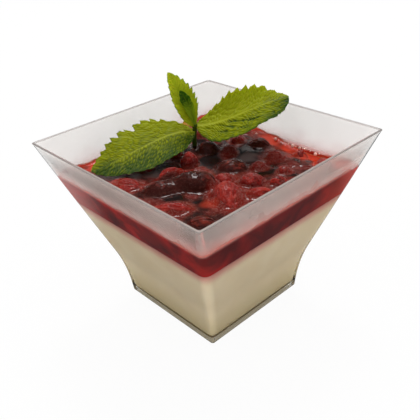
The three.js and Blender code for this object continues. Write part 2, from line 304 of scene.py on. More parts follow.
def feed(node: Node, inputs: dict) -> None:
    """Fills a node's sockets.

    Args:
        node: The node.
        inputs: Socket name or number to an output to link, an sRGB hex colour or a constant.
    """
    for key, value in inputs.items():
        if isinstance(value, NodeSocket):
            node.id_data.links.new(value, node.inputs[key])
        else:
            node.inputs[key].default_value = colour(value) if isinstance(value, str) else value


def add_node(tree: NodeTree, kind: str, inputs: dict | None = None, out: str | None = None,
             stops: Stops = (), **settings) -> NodeSocket:
    """Adds a shader node. A noise reads object coordinates, so its scale is in waves a metre.

    Args:
        tree: The node tree.
        kind: The node's type name, without the ShaderNode prefix.
        inputs: What feeds its sockets.
        out: Name of the output wanted, if not the usual one.
        stops: A colour ramp's places from 0 to 1, with their sRGB hex colours.
        **settings: The node's own properties.

    Returns:
        The output.
    """
    node = tree.nodes.new("ShaderNode" + kind)
    for key, value in (KIND_SETTINGS.get(kind, {}) | settings).items():
        setattr(node, key, value)
    if kind == "TexNoise":
        feed(node, {"Vector": add_node(tree, "TexCoord")})
    feed(node, inputs or {})
    if stops:
        elements = node.color_ramp.elements
        while len(elements) < len(stops):
            elements.new(1.0)
        for element, (place, code) in zip(elements, stops):
            element.position, element.color = place, colour(code)
    return node.outputs[out or KIND_OUTPUT.get(kind, 0)]


def span(value: NodeSocket, ends: Pair, low: float = 0.0,
         high: float | NodeSocket = 1.0, scale: float = 1.0) -> dict:
    """A map range node's inputs: a value that runs between two ends becomes low to high.

    Args:
        value: The value.
        ends: Where it starts and ends.
        low: What it becomes at the start.
        high: What it becomes at the end.
        scale: Factor on the ends, such as MM.

    Returns:
        The inputs.
    """
    first, last = (end * scale for end in ends)
    return {"Value": value, "From Min": first, "From Max": last, "To Min": low, "To Max": high}


def roughen(shader: Node, noise: dict, height: float, strength: float = 1.0,
            sockets: tuple[str, ...] = ("Normal",)) -> None:
    """Gives a finish its fine relief.

    Args:
        shader: The Principled node.
        noise: The relief's noise: scale in waves a metre, detail and roughness.
        height: How high its waves are.
        strength: The bump's strength.
        sockets: Which of the shader's normals it bends.
    """
    tree = shader.id_data
    waves = add_node(tree, "TexNoise", noise)
    bump = add_node(tree, "Bump", {"Height": waves, "Distance": height * MM, "Strength": strength})
    feed(shader, dict.fromkeys(sockets, bump))


def add_flecks(tree: NodeTree, base: NodeSocket, size: float,
               share: float | NodeSocket, shade: str) -> NodeSocket:
    """Scatters short pale streaks over a colour: partly the fibres of cooked fruit, partly painted glints of
    its wet surface.

    Args:
        tree: The material's node tree.
        base: The colour under them.
        size: Their spacing.
        share: How much of their colour the middle of a streak takes.
        shade: Their colour.

    Returns:
        The flecked colour.
    """
    streak = (0.46, 0.7)
    specks = add_node(tree, "TexNoise", {"Scale": 1 / (size * MM), "Detail": 2.0, "Distortion": 1.3})
    factor = add_node(tree, "MapRange", span(specks, streak, 0.0, share))
    return add_node(tree, "Mix", {"Factor": factor, "A": base, "B": shade})


@dataclass(frozen=True)
class Finish:
    """A surface finish: the shader's constants, and a method that adds its pattern."""

    name: str
    roughness: float = 0.4
    ior: float = 1.45
    coat: float = 0.0
    coat_roughness: float = 0.05
    scatter: float = 0.0
    scatter_mm: Point = (1.0, 1.0, 1.0)
    specular: float = 0.5
    base: str = "FFFFFF"

    def pattern(self, shader: Node) -> None:
        """Adds the finish's own nodes; a plain finish has none."""

    @cache
    def material(self) -> Material:
        """Makes the material once, with its constants on the shader's own sockets.

        Returns:
            The material.
        """
        made = bpy.data.materials.new(self.name)
        made.use_nodes = True
        shader = made.node_tree.nodes["Principled BSDF"]
        feed(shader, {
            "Base Color": self.base, "Roughness": self.roughness, "IOR": self.ior,
            "Specular IOR Level": self.specular, "Coat Weight": self.coat,
            "Coat Roughness": self.coat_roughness, "Subsurface Weight": self.scatter,
            "Subsurface Radius": self.scatter_mm, "Subsurface Scale": MM,
        })
        self.pattern(shader)
        return made


@dataclass(frozen=True)
class MouldedPolystyrene(Finish):
    """Clear polystyrene, injection moulded: water clear, hard gloss, high index."""

    name: str = "moulded_clear_polystyrene"
    roughness: float = 0.09
    ior: float = 1.59
    base: str = "FDFDFC"
    lamp_tint: str = "F2F1EF"

    def pattern(self, shader: Node) -> None:
        """Lets the light of lamps through, and waves the surface a little as moulding does.

        Args:
            shader: The Principled node.
        """
        tree = shader.id_data
        feed(shader, {"Transmission Weight": 1.0})
        roughen(shader, {"Scale": 60.0, "Detail": 1.0}, 0.05, 0.4)
        shadow = add_node(tree, "LightPath", out="Is Shadow Ray")
        clear = add_node(tree, "BsdfTransparent", {"Color": self.lamp_tint})
        mixed = add_node(tree, "MixShader", {0: shadow, 1: shader.outputs["BSDF"], 2: clear})
        feed(tree.nodes["Material Output"], {"Surface": mixed})


@dataclass(frozen=True)
class GreyLipLine(Finish):
    """The cup's cut lip: half clear and grey, a painted stand-in for the thin grey line that light bent
    through the lip's thickness makes.
    """

    name: str = "painted_grey_lip_line"
    roughness: float = 0.35
    ior: float = 1.59
    # painted grey of the rim line
    base: str = "C2BAB6"
    clearness: float = 0.5

    def pattern(self, shader: Node) -> None:
        """Half clear, with scratches a millimetre apart."""
        feed(shader, {"Transmission Weight": self.clearness})
        roughen(shader, {"Scale": 900.0, "Detail": 2.0}, 0.05)


@dataclass(frozen=True)
class SetCream(Finish):
    """Cream set with gelatine: ivory, smooth, lit a little from within, stained where fruit bleeds."""

    name: str = "set_coconut_cream"
    roughness: float = 0.35
    ior: float = 1.4
    specular: float = 0.15
    scatter: float = 0.35
    scatter_mm: Point = (3.0, 2.4, 1.6)
    ivory: Stops = ((0.35, "E9D8B8"), (0.65, "EFE0C2"))
    # painted shade: the ivory darkens towards the foot, where shade falls low on the cup
    painted_foot_shade: str = "E0D0AA"
    foot_shade_mm: Pair = (4.0, 16.0)
    stain_shade: str = "DA988C"
    stain_mm: Pair = (34.4, 39.8)
    stain_waves: float = 1.6

    def pattern(self, shader: Node) -> None:
        """Ivory with a faint mottle, darker towards the foot as painted shade, and a pink stain under the
        fruit.

        Args:
            shader: The Principled node.
        """
        tree = shader.id_data
        mottle = add_node(tree, "TexNoise", {"Scale": 90.0, "Detail": 3.0})
        ivory = add_node(tree, "ValToRGB", {"Fac": mottle}, stops=self.ivory)
        height = add_node(tree, "SeparateXYZ", {"Vector": add_node(tree, "TexCoord")}, "Z")
        # painted shade, full at the foot and gone by the top of its span
        lifted = add_node(tree, "MapRange", span(height, self.foot_shade_mm, scale=MM),
                          interpolation_type="SMOOTHSTEP")
        ivory = add_node(tree, "Mix", {"Factor": lifted, "A": self.painted_foot_shade, "B": ivory})
        uneven = add_node(tree, "TexNoise", {"Scale": 160.0, "Detail": 2.0})
        shifted = add_node(tree, "Math", {0: uneven, 1: self.stain_waves * MM, 2: height})
        stain = add_node(tree, "MapRange", span(shifted, self.stain_mm, scale=MM),
                         interpolation_type="SMOOTHSTEP")
        stained = add_node(tree, "Mix", {"Factor": stain, "A": ivory, "B": self.stain_shade})
        feed(shader, {"Base Color": stained})


@dataclass(frozen=True)
class CompoteJelly(Finish):
    """Berry juice set with pectin: dark and wet, with a painted glow of bright red where it is thin near a
    wall.

    Its marks: tone runs from clear juice to red pulp on the top, and on the side only marks the face that
    shows on the right, whose band it darkens a little. Thin is where the jelly is thin and gets a painted
    glow of light shining through; the painted sheen mark lays a painted grey sky reflection on puddles; brim
    is at the wall over the edge, and wet where it is glossy.
    """

    name: str = "berry_juice_jelly"
    roughness: float = 0.22
    ior: float = 1.4
    specular: float = 0.1
    coat: float = 0.24
    coat_roughness: float = 0.09
    scatter: float = 0.4
    scatter_mm: Point = (3.5, 0.5, 0.35)
    at_wall: Stops = (
        (0.36, "5E1618"), (0.5, "861C1C"), (0.6, "A8201E"), (0.72, "BE2A24"),
    )
    on_top: Stops = ((0.25, "180705"), (0.5, "3A100A"), (0.8, "681810"), (1.0, "8E2116"))
    # colours of the flecks, of the painted sky reflection, of the painted glow and of the brim
    shades: tuple[str, ...] = ("A06A62", "8A706C", "C8402A", "C88C82")

    def pattern(self, shader: Node) -> None:
        """Patches of dark and red fruit, a painted glow of red that brightens as the jelly thins, and a
        painted grey sheen on puddles.

        Args:
            shader: The Principled node.
        """
        tree = shader.id_data
        tone, thin, painted_sheen, brim, wet, open_top = (
            add_node(tree, "Attribute", attribute_name=mark)
            for mark in ("tone", "thin", "painted_sheen", "brim", "wet", "open_top")
        )
        fleck, cloud, thin_glow_red, brim_pink = self.shades
        patches = add_node(
            tree, "TexNoise", {"Scale": 75.0, "Detail": 3.0, "Roughness": 0.55, "Distortion": 0.6}
        )
        lowered = add_node(tree, "Math", {0: tone, 1: -0.13, 2: patches})
        side = add_node(tree, "ValToRGB", {"Fac": lowered}, stops=self.at_wall)
        raised = add_node(tree, "Math", {0: patches, 1: 0.5, 2: tone})
        above = add_node(tree, "ValToRGB", {"Fac": raised}, stops=self.on_top)
        pulpy = add_node(tree, "Math", {0: tone, 1: 0.95, 2: -0.08})
        above = add_flecks(tree, above, 0.9, pulpy, fleck)
        # painted reflection: the grey of the sky mixed into puddles of juice
        above = add_node(tree, "Mix", {"Factor": painted_sheen, "A": above, "B": cloud})
        deep = add_node(tree, "Mix", {"Factor": open_top, "A": side, "B": above})
        # painted glow: brighter red where the thin mark is high
        lit = add_node(tree, "Mix", {"Factor": thin, "A": deep, "B": thin_glow_red})
        edged = add_node(tree, "Mix", {"Factor": brim, "A": lit, "B": brim_pink})
        shine = add_node(tree, "Math", {0: wet, 1: self.coat}, operation="MULTIPLY")
        feed(shader, {"Base Color": edged, "Coat Weight": shine})
        roughen(shader, {"Scale": 600.0, "Detail": 4.0, "Roughness": 0.62}, 0.06, 0.7, SKIN_AND_COAT)


@dataclass(frozen=True)
class GlazedFruit(Finish):
    """Cooked fruit under a wet glaze: darker in its folds as painted shade, redder where the flesh shows."""

    roughness: float = 0.35
    ior: float = 1.4
    specular: float = 0.1
    coat: float = 1.0
    coat_roughness: float = 0.13
    scatter: float = 0.25
    scatter_mm: Point = (2.5, 0.4, 0.3)
    stops: Stops = ((0.3, "2A0C0E"), (0.7, "5C1C1C"))
    # colour of the painted shade in the folds
    crease: str = "1E0809"
    fleck: str = "A8706A"
    flecked: float = 0.35
    grain: float = 2.5

    def pattern(self, shader: Node) -> None:
        """Mottled colour, darker as painted shade where the crease mark is high, with a fine wet bump.

        Args:
            shader: The Principled node.
        """
        tree = shader.id_data
        mottle = add_node(
            tree, "TexNoise", {"Scale": 1 / (self.grain * MM), "Detail": 4.0, "Distortion": 0.8}
        )
        skin = add_node(tree, "ValToRGB", {"Fac": mottle}, stops=self.stops)
        skin = add_flecks(tree, skin, 0.7, self.flecked, self.fleck)
        folds = add_node(tree, "Attribute", attribute_name="crease")
        feed(shader, {"Base Color": add_node(tree, "Mix", {"Factor": folds, "A": skin, "B": self.crease})})
        roughen(shader, {"Scale": 1100.0, "Detail": 3.0}, 0.13, 0.8, SKIN_AND_COAT)


@dataclass(frozen=True)
class BubbleSkin(Finish):
    """A skin of juice round air: glossy, bright where it catches the lamp, and pale pink all over as a
    painted glint.
    """

    name: str = "juice_bubble_skin"
    roughness: float = 0.12
    ior: float = 1.35
    coat: float = 1.0
    scatter: float = 0.5
    # painted glint: pale pink as bright as the bubbles' glints
    base: str = "F8C8BC"


@dataclass(frozen=True)
class MintBlade(Finish):
    """Fresh mint leaf: satin, quilted between pale veins, painted with light: yellow green on the crests and
    where light would come through, dark green where shade falls.
    """

    name: str = "fresh_mint_blade"
    roughness: float = 0.45
    ior: float = 1.42
    specular: float = 0.1
    scatter: float = 0.3
    scatter_mm: Point = (0.9, 1.2, 0.25)
    shade: str = "224010"
    light: str = "8C9309"
    vein: str = "AAB030"

    def pattern(self, shader: Node) -> None:
        """Green that turns yellow on the quilted crests and where the light and shade mark is high, both
        painted light and shade, paler along the veins.

        Args:
            shader: The Principled node.
        """
        tree = shader.id_data
        crest, light_and_shade, veins = (
            add_node(tree, "Attribute", attribute_name=mark) for mark in ("crest", "light_and_shade", "vein")
        )
        cloud = add_node(tree, "TexNoise", {"Scale": 140.0, "Detail": 4.0})
        # the crest mark is painted light on the domes of the quilting
        blend = add_node(tree, "Math", {0: crest, 1: 0.8, 2: light_and_shade})
        blend = add_node(tree, "Math", {0: cloud, 1: 0.6, 2: blend})
        green = add_node(tree, "ValToRGB", {"Fac": blend}, stops=((0.5, self.shade), (0.95, self.light)))
        feed(shader, {"Base Color": add_node(tree, "Mix", {"Factor": veins, "A": green, "B": self.vein})})
        roughen(shader, {"Scale": 1600.0, "Detail": 2.0}, 0.08, 0.5)


@dataclass(frozen=True)
class WallMist(Finish):
    """Fine mist on cold plastic: a thin white veil, patchy as breath on glass.

    It blushes near the compote, and the juice has left a red film on the walls behind.
    """

    name: str = "cold_wall_mist"
    roughness: float = 0.6
    ior: float = 1.33
    specular: float = 0.0
    base: str = "FAF4F0"
    rosy: str = "F7E4DC"
    blush: str = "DDA99E"
    blush_mm: Pair = (42.5, 47.5)
    blush_waves: float = -12.0
    film_red: str = "EC8C7C"
    cover: Pair = (0.235, 0.265)

    def pattern(self, shader: Node) -> None:
        """Makes the veil thin, and thicker in soft patches about 10 mm across.

        Args:
            shader: The Principled node.
        """
        tree = shader.id_data
        more, front, film = (
            add_node(tree, "Attribute", attribute_name=mark) for mark in ("more", "front", "film")
        )
        patch = add_node(tree, "TexNoise", {"Scale": 100.0, "Detail": 3.0})
        veil = add_node(tree, "MapRange", span(patch, (0.3, 0.7), *self.cover))
        cover = add_node(tree, "Math", {0: more, 1: veil}, operation="ADD")
        spots = add_node(tree, "TexNoise", {"Scale": 170.0, "Detail": 3.0, "Roughness": 0.6})
        height = add_node(tree, "SeparateXYZ", {"Vector": add_node(tree, "TexCoord")}, "Z")
        reached = add_node(tree, "Math", {0: spots, 1: self.blush_waves * MM, 2: height})
        share = add_node(tree, "MapRange", span(reached, self.blush_mm, 1.0, 0.0, MM))
        plain = add_node(tree, "Mix", {"Factor": front, "A": self.base, "B": self.rosy})
        tint = add_node(tree, "Mix", {"Factor": share, "A": plain, "B": self.blush})
        stained = add_node(tree, "Mix", {"Factor": film, "A": tint, "B": self.film_red})
        feed(shader, {"Base Color": stained, "Alpha": cover})


@dataclass(frozen=True)
class GlowingBoard(Finish):
    """White board lit so evenly that it looks white right up to the cup, as the backdrop does. Through the
    plastic, its square under the cup glows dim and olive as a painted shadow, tinted as light that came
    through the cream.
    """

    name: str = "evenly_lit_white_board"
    base: str = "F2F2F2"
    roughness: float = 0.9
    specular: float = 0.0
    mirrored: str = "2C2C2C"
    # painted shadow under the cup, tinted as light through the cream, seen through the plastic
    under: str = "998F79"
    glow: Pair = (0.66, 0.95)
    inner_glow: float = 0.5
    fill: float = 0.8
    under_fill: float = 0.8
    shaded_mm: Pair = (21.0, 30.0)
    dark_front_mm: Pair = (-60.0, -20.0)
    dark_front: float = -0.96
    front_way: Point = (math.sin(CAMERA_AZIMUTH), -math.cos(CAMERA_AZIMUTH), 0.0)

    def pattern(self, shader: Node) -> None:
        """Glows for what sees it straight or through the plastic, and is dark in mirrored light in front.

        Args:
            shader: The Principled node.
        """
        tree = shader.id_data
        shiny, through, diffuse, straight = (
            add_node(tree, "LightPath", out=ray)
            for ray in ("Glossy Depth", "Transmission Depth", "Is Diffuse Ray", "Is Camera Ray")
        )
        place = add_node(tree, "TexCoord")
        bounced = add_node(tree, "Math", {0: shiny, 1: 1.0}, operation="MINIMUM")
        inside = add_node(tree, "Math", {0: through, 1: 1.0}, operation="MINIMUM")
        forward = add_node(tree, "VectorMath", {0: place, 1: self.front_way}, "Value",
                           operation="DOT_PRODUCT")
        front = add_node(tree, "MapRange", span(forward, self.dark_front_mm, 0.0, self.dark_front, MM))
        kept = add_node(tree, "Math", {0: inside, 1: self.inner_glow, 2: front})
        kept = add_node(tree, "Math", {0: kept, 1: 0.0}, operation="MINIMUM")
        seen = add_node(tree, "Math", {0: bounced, 1: kept, 2: 1.0})
        seen = add_node(tree, "Math", {0: seen, 1: diffuse}, operation="MAXIMUM")
        across = add_node(tree, "VectorMath", {0: place}, operation="ABSOLUTE")
        sides = {i: add_node(tree, "SeparateXYZ", {"Vector": across}, axis) for i, axis in enumerate("XY")}
        away = add_node(tree, "Math", sides, operation="MAXIMUM")
        # painted shadow: through the plastic the board under the cup glows dimmer and in the under colour
        lifted = add_node(tree, "MapRange", span(away, self.shaded_mm, scale=MM),
                          interpolation_type="SMOOTHSTEP")
        spread = add_node(tree, "Math", {0: diffuse, 1: self.under_fill, 2: straight})
        open_board = add_node(tree, "Math", {0: lifted, 1: spread}, operation="MAXIMUM")
        lit = add_node(tree, "MapRange", span(open_board, (0.0, 1.0), *self.glow))
        tint = add_node(tree, "Mix", {"Factor": open_board, "A": self.under, "B": "FFFFFF"})
        share = add_node(tree, "Math", {0: seen, 1: lit}, operation="MULTIPLY")
        power = add_node(tree, "Math", {0: diffuse, 1: self.fill, 2: 1.0})
        white = add_node(tree, "Emission", {"Color": tint, "Strength": power})
        mixed = add_node(tree, "MixShader", {0: share, 1: shader.outputs["BSDF"], 2: white})
        board = add_node(tree, "Mix", {"Factor": bounced, "A": self.base, "B": self.mirrored})
        feed(shader, {"Base Color": board})
        feed(tree.nodes["Material Output"], {"Surface": mixed})


# The cup


@dataclass(frozen=True)
class SquareRing:
    """A square with round corners as fixed directions, so that one ring fits any size.

    A point is flat * (half - corner) + out * corner: the first places the corner's centre or a
    spot along the side, the second goes out from there.
    """

    arc_steps: int = 8
    side_steps: int = 16
    guard: float = 0.998

    def template(self) -> tuple[Array, Array]:
        """The two direction arrays, run anticlockwise.

        Returns:
            The flat directions and those that go out from them, one row for each point.
        """
        spread = self.guard * np.sin(np.linspace(-math.pi / 2, math.pi / 2, self.side_steps + 1))
        side_flat = np.stack([np.ones_like(spread), spread], -1)
        side_out = np.stack([np.ones_like(spread), np.zeros_like(spread)], -1)
        angle = np.linspace(0, math.pi / 2, self.arc_steps + 1)
        arc = np.stack([np.cos(angle), np.sin(angle)], -1)
        quarters = np.arange(4) * math.pi / 2
        turns = np.array([[[math.cos(q), math.sin(q)], [-math.sin(q), math.cos(q)]] for q in quarters])
        flat = (np.concatenate([side_flat, np.ones_like(arc)]) @ turns).reshape(-1, 2)
        out = (np.concatenate([side_out, arc]) @ turns).reshape(-1, 2)
        return flat, out

    def rings(self, half: Array, corner: Array, z: Array) -> Array:
        """Rings of the given sizes, one above another.

        Args:
            half: Half widths, one for each ring or for each point of each ring.
            corner: Corner radii, likewise.
            z: Heights, likewise.

        Returns:
            The points, as rings by points by three.
        """
        flat, out = self.template()
        half, corner, z = (
            np.broadcast_to(a if a.ndim == 2 else a[:, None], (len(half), len(flat)))[..., None]
            for a in (half, corner, z)
        )
        return np.concatenate([flat * (half - corner) + out * corner, z], -1)


def forwardness(points: Array) -> Array:
    """1 at the corner that faces the viewer, 0 at the two beside it and -1 at the one behind."""
    across = np.abs(points[..., :2]).max(-1)
    return (points[..., 0] - points[..., 1]) / (2 * np.maximum(across, 1e-6))


def on_right_face(points: Array) -> Array:
    """Whether places lie towards the wall that shows on the right."""
    return points[:, 0] > np.abs(points[:, 1])


@dataclass
class CupForm:
    """The cup's form: a square foot, a soft bend and straight flared walls that belly a little."""

    rim_half: float
    height: float
    wall: float = 1.1
    rim_wall: float = 0.85
    slope: float = 0.355
    foot_half: float = 21.5
    foot_height: float = 3.0
    foot_slope: float = 0.09
    bend_top: float = 18.5
    bend_pull: Pair = (22.54, 11.76)
    floor_top: float = 3.2
    floor_thick: float = 1.3
    foot_ring: float = 1.3
    outer_corner: float = 0.9
    soft_corner: float = 2.3
    soft_from: float = 34.0
    soft_to: float = 42.0
    soft_end: float = 62.0
    inner_corner: float = 2.4
    mouth_corner: float = 1.2
    lip_corner: float = 0.7
    sharpen: Pair = (43.0, 49.2)
    lip_sharpen: Pair = (51.0, 66.0)
    thinning: Pair = (50.5, 61.0)
    belly: float = 0.4

    def softness(self, z: Array, end: float) -> Array:
        """A hump over the height: 0 at the foot and at the end, 1 where the cream ends."""
        return smooth_step(self.foot_height, self.soft_from, z) * smooth_step(end, self.soft_to, z)

    def corner(self, z: Array) -> Array:
        """The outer corner's radius at heights z, largest where the cream ends."""
        return self.outer_corner + (self.soft_corner - self.outer_corner) * self.softness(z, self.soft_end)

    def hollow_corner(self, z: Array) -> Array:
        """The hollow's corner radius at heights z: full where it is filled, sharper to the lip."""
        mouth = self.inner_corner + (self.mouth_corner - self.inner_corner) * smooth_step(*self.sharpen, z)
        return mouth + (self.lip_corner - self.mouth_corner) * smooth_step(*self.lip_sharpen, z)

    def outer_half(self, z: Array) -> Array:
        """Half the outer width at heights z: a line, a quadratic curve, then a line.

        Args:
            z: Heights.

        Returns:
            Half widths.
        """
        low = np.array([self.foot_half + self.foot_slope * self.foot_height, self.foot_height])
        high = np.array([self.rim_half - self.slope * (self.height - self.bend_top), self.bend_top])
        pull = np.array(self.bend_pull)
        curve = low - 2 * pull + high
        lean = 2 * (pull - low)
        inside = np.clip(z, low[1], high[1])
        root = np.sqrt(lean[1] ** 2 - 4 * curve[1] * (low[1] - inside))
        t = (root - lean[1]) / (2 * curve[1])
        bend = low[0] + lean[0] * t + curve[0] * t * t
        foot = self.foot_half + self.foot_slope * z
        flare = self.rim_half - self.slope * (self.height - z)
        straight = np.where(z <= low[1], foot, np.where(z >= high[1], flare, bend))
        return straight + self.belly * self.softness(z, self.height)

    def inner_half(self, z: Array) -> Array:
        """Half the width of the hollow at heights z, where the wall thins a little to the rim."""
        return self.outer_half(z) - self.wall + (self.wall - self.rim_wall) * smooth_step(*self.thinning, z)


@dataclass
class ClearCup:
    """The clear moulded cup, one closed skin round its wall, rim, floor and foot ring."""

    form: CupForm
    finish: Finish = MouldedPolystyrene()
    lip_finish: Finish = GreyLipLine()
    edge: float = 0.24
    edge_steps: int = 5
    guard: float = 0.04
    bend_rows: int = 26
    wall_rows: int = 40
    floor_shares: tuple[float, ...] = (0.05, 0.5, 0.95, 0.985)
    ring: SquareRing = SquareRing()

    def profile(self) -> Array:
        """The wall's section, from under the foot round the rim to the floor.

        Returns:
            Rows of half width, corner radius and height.
        """
        f, e, near = self.form, self.edge, self.guard
        recess = f.foot_half - f.foot_ring
        under = f.floor_top - f.floor_thick
        turn = np.linspace(0, math.pi / 2, self.edge_steps + 1)
        rise = np.concatenate([
            [e, e + near, f.foot_height - near],
            np.linspace(f.foot_height, f.bend_top, self.bend_rows),
            np.linspace(f.bend_top, f.height - e - near, self.wall_rows)[1:],
            [f.height - e],
        ])
        fall = np.append(rise[rise > f.floor_top + 2 * e][::-1], f.floor_top + e + near)
        corner_in = f.inner_corner - 1
        foot = f.outer_half(np.array([0.0]))[0]
        mouth = f.rim_half - f.rim_wall
        floor = f.inner_half(np.array([f.floor_top]))[0]
        out, up = e * np.sin(turn), e * np.cos(turn)
        share = np.array(self.floor_shares)
        parts = [
            (recess * share, corner_in * share, under),
            (recess - e + out, corner_in, under - e + up),
            (recess + e - up, corner_in, e - out),
            (foot - e + out, f.outer_corner, e - up),
            (f.outer_half(rise), f.corner(rise), rise),
            (f.rim_half - e + up, f.outer_corner, f.height - e + out),
            (mouth + e - out, f.lip_corner, f.height - e + up),
            (f.inner_half(fall), f.hollow_corner(fall), fall),
            (floor - e + up, f.inner_corner, f.floor_top + e - out),
            (floor * share[::-1], f.inner_corner * share[::-1], f.floor_top),
        ]
        return np.concatenate([np.stack(np.broadcast_arrays(*part), -1) for part in parts])

    def build(self) -> None:
        """Carries the section round the square, and gives the faces of the lip their own finish."""
        points, faces = closed_loft(self.ring.rings(*self.profile().T))
        finishes = [self.finish, self.lip_finish]
        cup = make_piece("clear_cup", points, faces, ("cup",), finishes)
        lip = self.form.height - self.edge - 1.5 * self.guard
        on_lip = np.concatenate([points[faces[0], 2].min(1) > lip, np.zeros(len(faces[1]), bool)])
        cup.polygons.foreach_set("material_index", on_lip.astype(np.int32))


@dataclass
class MistOnWall:
    """The mist on the inside of the wall above the compote: a thin sleeve just off the wall.

    Each cover is added to the veil's own: at the front corner, on the front faces, and where
    these end, from the compote up to the lip. The film is the juice's trace on the walls behind.
    """

    form: CupForm
    low: float
    finish: Finish = WallMist()
    front_corner: float = -0.09
    left_face: float = 0.33
    right_face: float = 0.07
    at_ends: Pair = (0.26, -0.18)
    ends_fade: Pair = (51.0, 55.5)
    film: float = 0.24
    film_reach: float = 0.9
    film_top: float = 48.8
    off: float = 0.03
    thick: float = 0.04
    lip_gap: float = 0.15
    rows: int = 24
    ring: SquareRing = SquareRing()

    def build(self) -> None:
        """Lofts the sleeve's two skins and joins them at both ends."""
        f = self.form
        z = self.low + (f.height - self.lip_gap - self.low) * np.linspace(0, 1, self.rows) ** 1.6
        near = f.inner_half(z) - self.off
        corner = f.hollow_corner(z) - self.off
        outside = self.ring.rings(near, corner, z)
        inside = self.ring.rings(near - self.thick, corner - self.thick, z)[::-1]
        rings = np.concatenate([outside, inside])
        points = rings.reshape(-1, 3)
        quads = grid_faces(len(rings) + 1, rings.shape[1], wrap=True) % len(points)
        make_piece("wall_mist", points, [quads], (), [self.finish], self.marks(points))

    def marks(self, points: Array) -> dict[str, Array]:
        """How thick the mist is, and where it is the front's or stained.

        Args:
            points: The sleeve's points.

        Returns:
            The marks for the finish.
        """
        towards, height = forwardness(points), points[:, 2]
        near_ends = smooth_step(0.4, 0.05, towards) * smooth_step(-0.04, 0.02, towards)
        between = smooth_step(0.05, 0.35, towards) * smooth_step(1.0, 0.75, towards)
        face = np.where(on_right_face(points), self.right_face, self.left_face)
        ends = self.at_ends[0] + (self.at_ends[1] - self.at_ends[0]) * smooth_step(*self.ends_fade, height)
        more = self.front_corner * smooth_step(0.6, 1.0, towards) + face * between + ends * near_ends
        fading = np.exp(-np.clip(height - self.film_top, 0, None) / self.film_reach)
        film = fading * smooth_step(0.0, -0.15, towards)
        return {"more": more + self.film * film, "front": smooth_step(-0.1, 0.15, towards), "film": film}


# What fills the cup


@dataclass
class CreamFill:
    """The set cream, which reaches just into the wall so that no air shows between them."""

    form: CupForm
    top: float
    bite: float = 0.15
    sink: float = 0.1
    rows: int = 40
    end_shares: tuple[float, ...] = (0.1, 0.6, 0.97)
    finish: Finish = SetCream()
    ring: SquareRing = SquareRing()

    def build(self) -> None:
        """Lofts the cream from the floor to its flat top."""
        f, ends = self.form, list(self.end_shares)
        bottom = f.floor_top - self.sink
        z = np.concatenate([[bottom] * 3, np.linspace(bottom, self.top, self.rows), [self.top] * 3])
        shares = np.concatenate([ends, np.ones(self.rows), ends[::-1]])
        half = (f.inner_half(z) + self.bite) * shares
        corner = (f.inner_corner + self.bite) * shares
        points, faces = closed_loft(self.ring.rings(half, corner, z))
        make_piece("set_cream", points, faces, ("panna_cotta",), [self.finish])


class FruitKind(Enum):
    """The kinds of fruit in the compote, by the first part of their nodes' names."""

    CHERRY = "cherry"
    FLESH = "fruit_piece"
    BERRY = "red_berry"


@dataclass(frozen=True)
class FruitLook:
    """What the pieces of a kind share: a slot name, which nothing here reads, how red they stain the jelly,
    and their finish.
    """

    slot: str
    redness: float
    finish: Finish


# each kind's crease colour is its painted shade in the folds
LOOKS = {
    FruitKind.CHERRY: FruitLook("cherry_skin", 0.2, GlazedFruit(
        "glazed_dark_cherry_skin", stops=((0.35, "3A1410"), (0.55, "5A2019"), (0.75, "842E20")),
        crease="220B08", coat=0.12, flecked=0.1,
    )),
    FruitKind.FLESH: FruitLook("fruit_flesh", 0.62, GlazedFruit(
        "glazed_red_fruit_flesh", stops=((0.3, "6C1815"), (0.55, "922119"), (0.8, "B03424")),
        crease="701412", scatter=0.4, grain=3.5, coat=0.15,
    )),
    FruitKind.BERRY: FruitLook("berry_skin", 0.55, GlazedFruit(
        "glazed_red_berry_skin", stops=((0.3, "5E100C"), (0.6, "861A13"), (0.85, "AA2818")),
        crease="4A0C0C", scatter=0.4, coat=0.16,
    )),
}


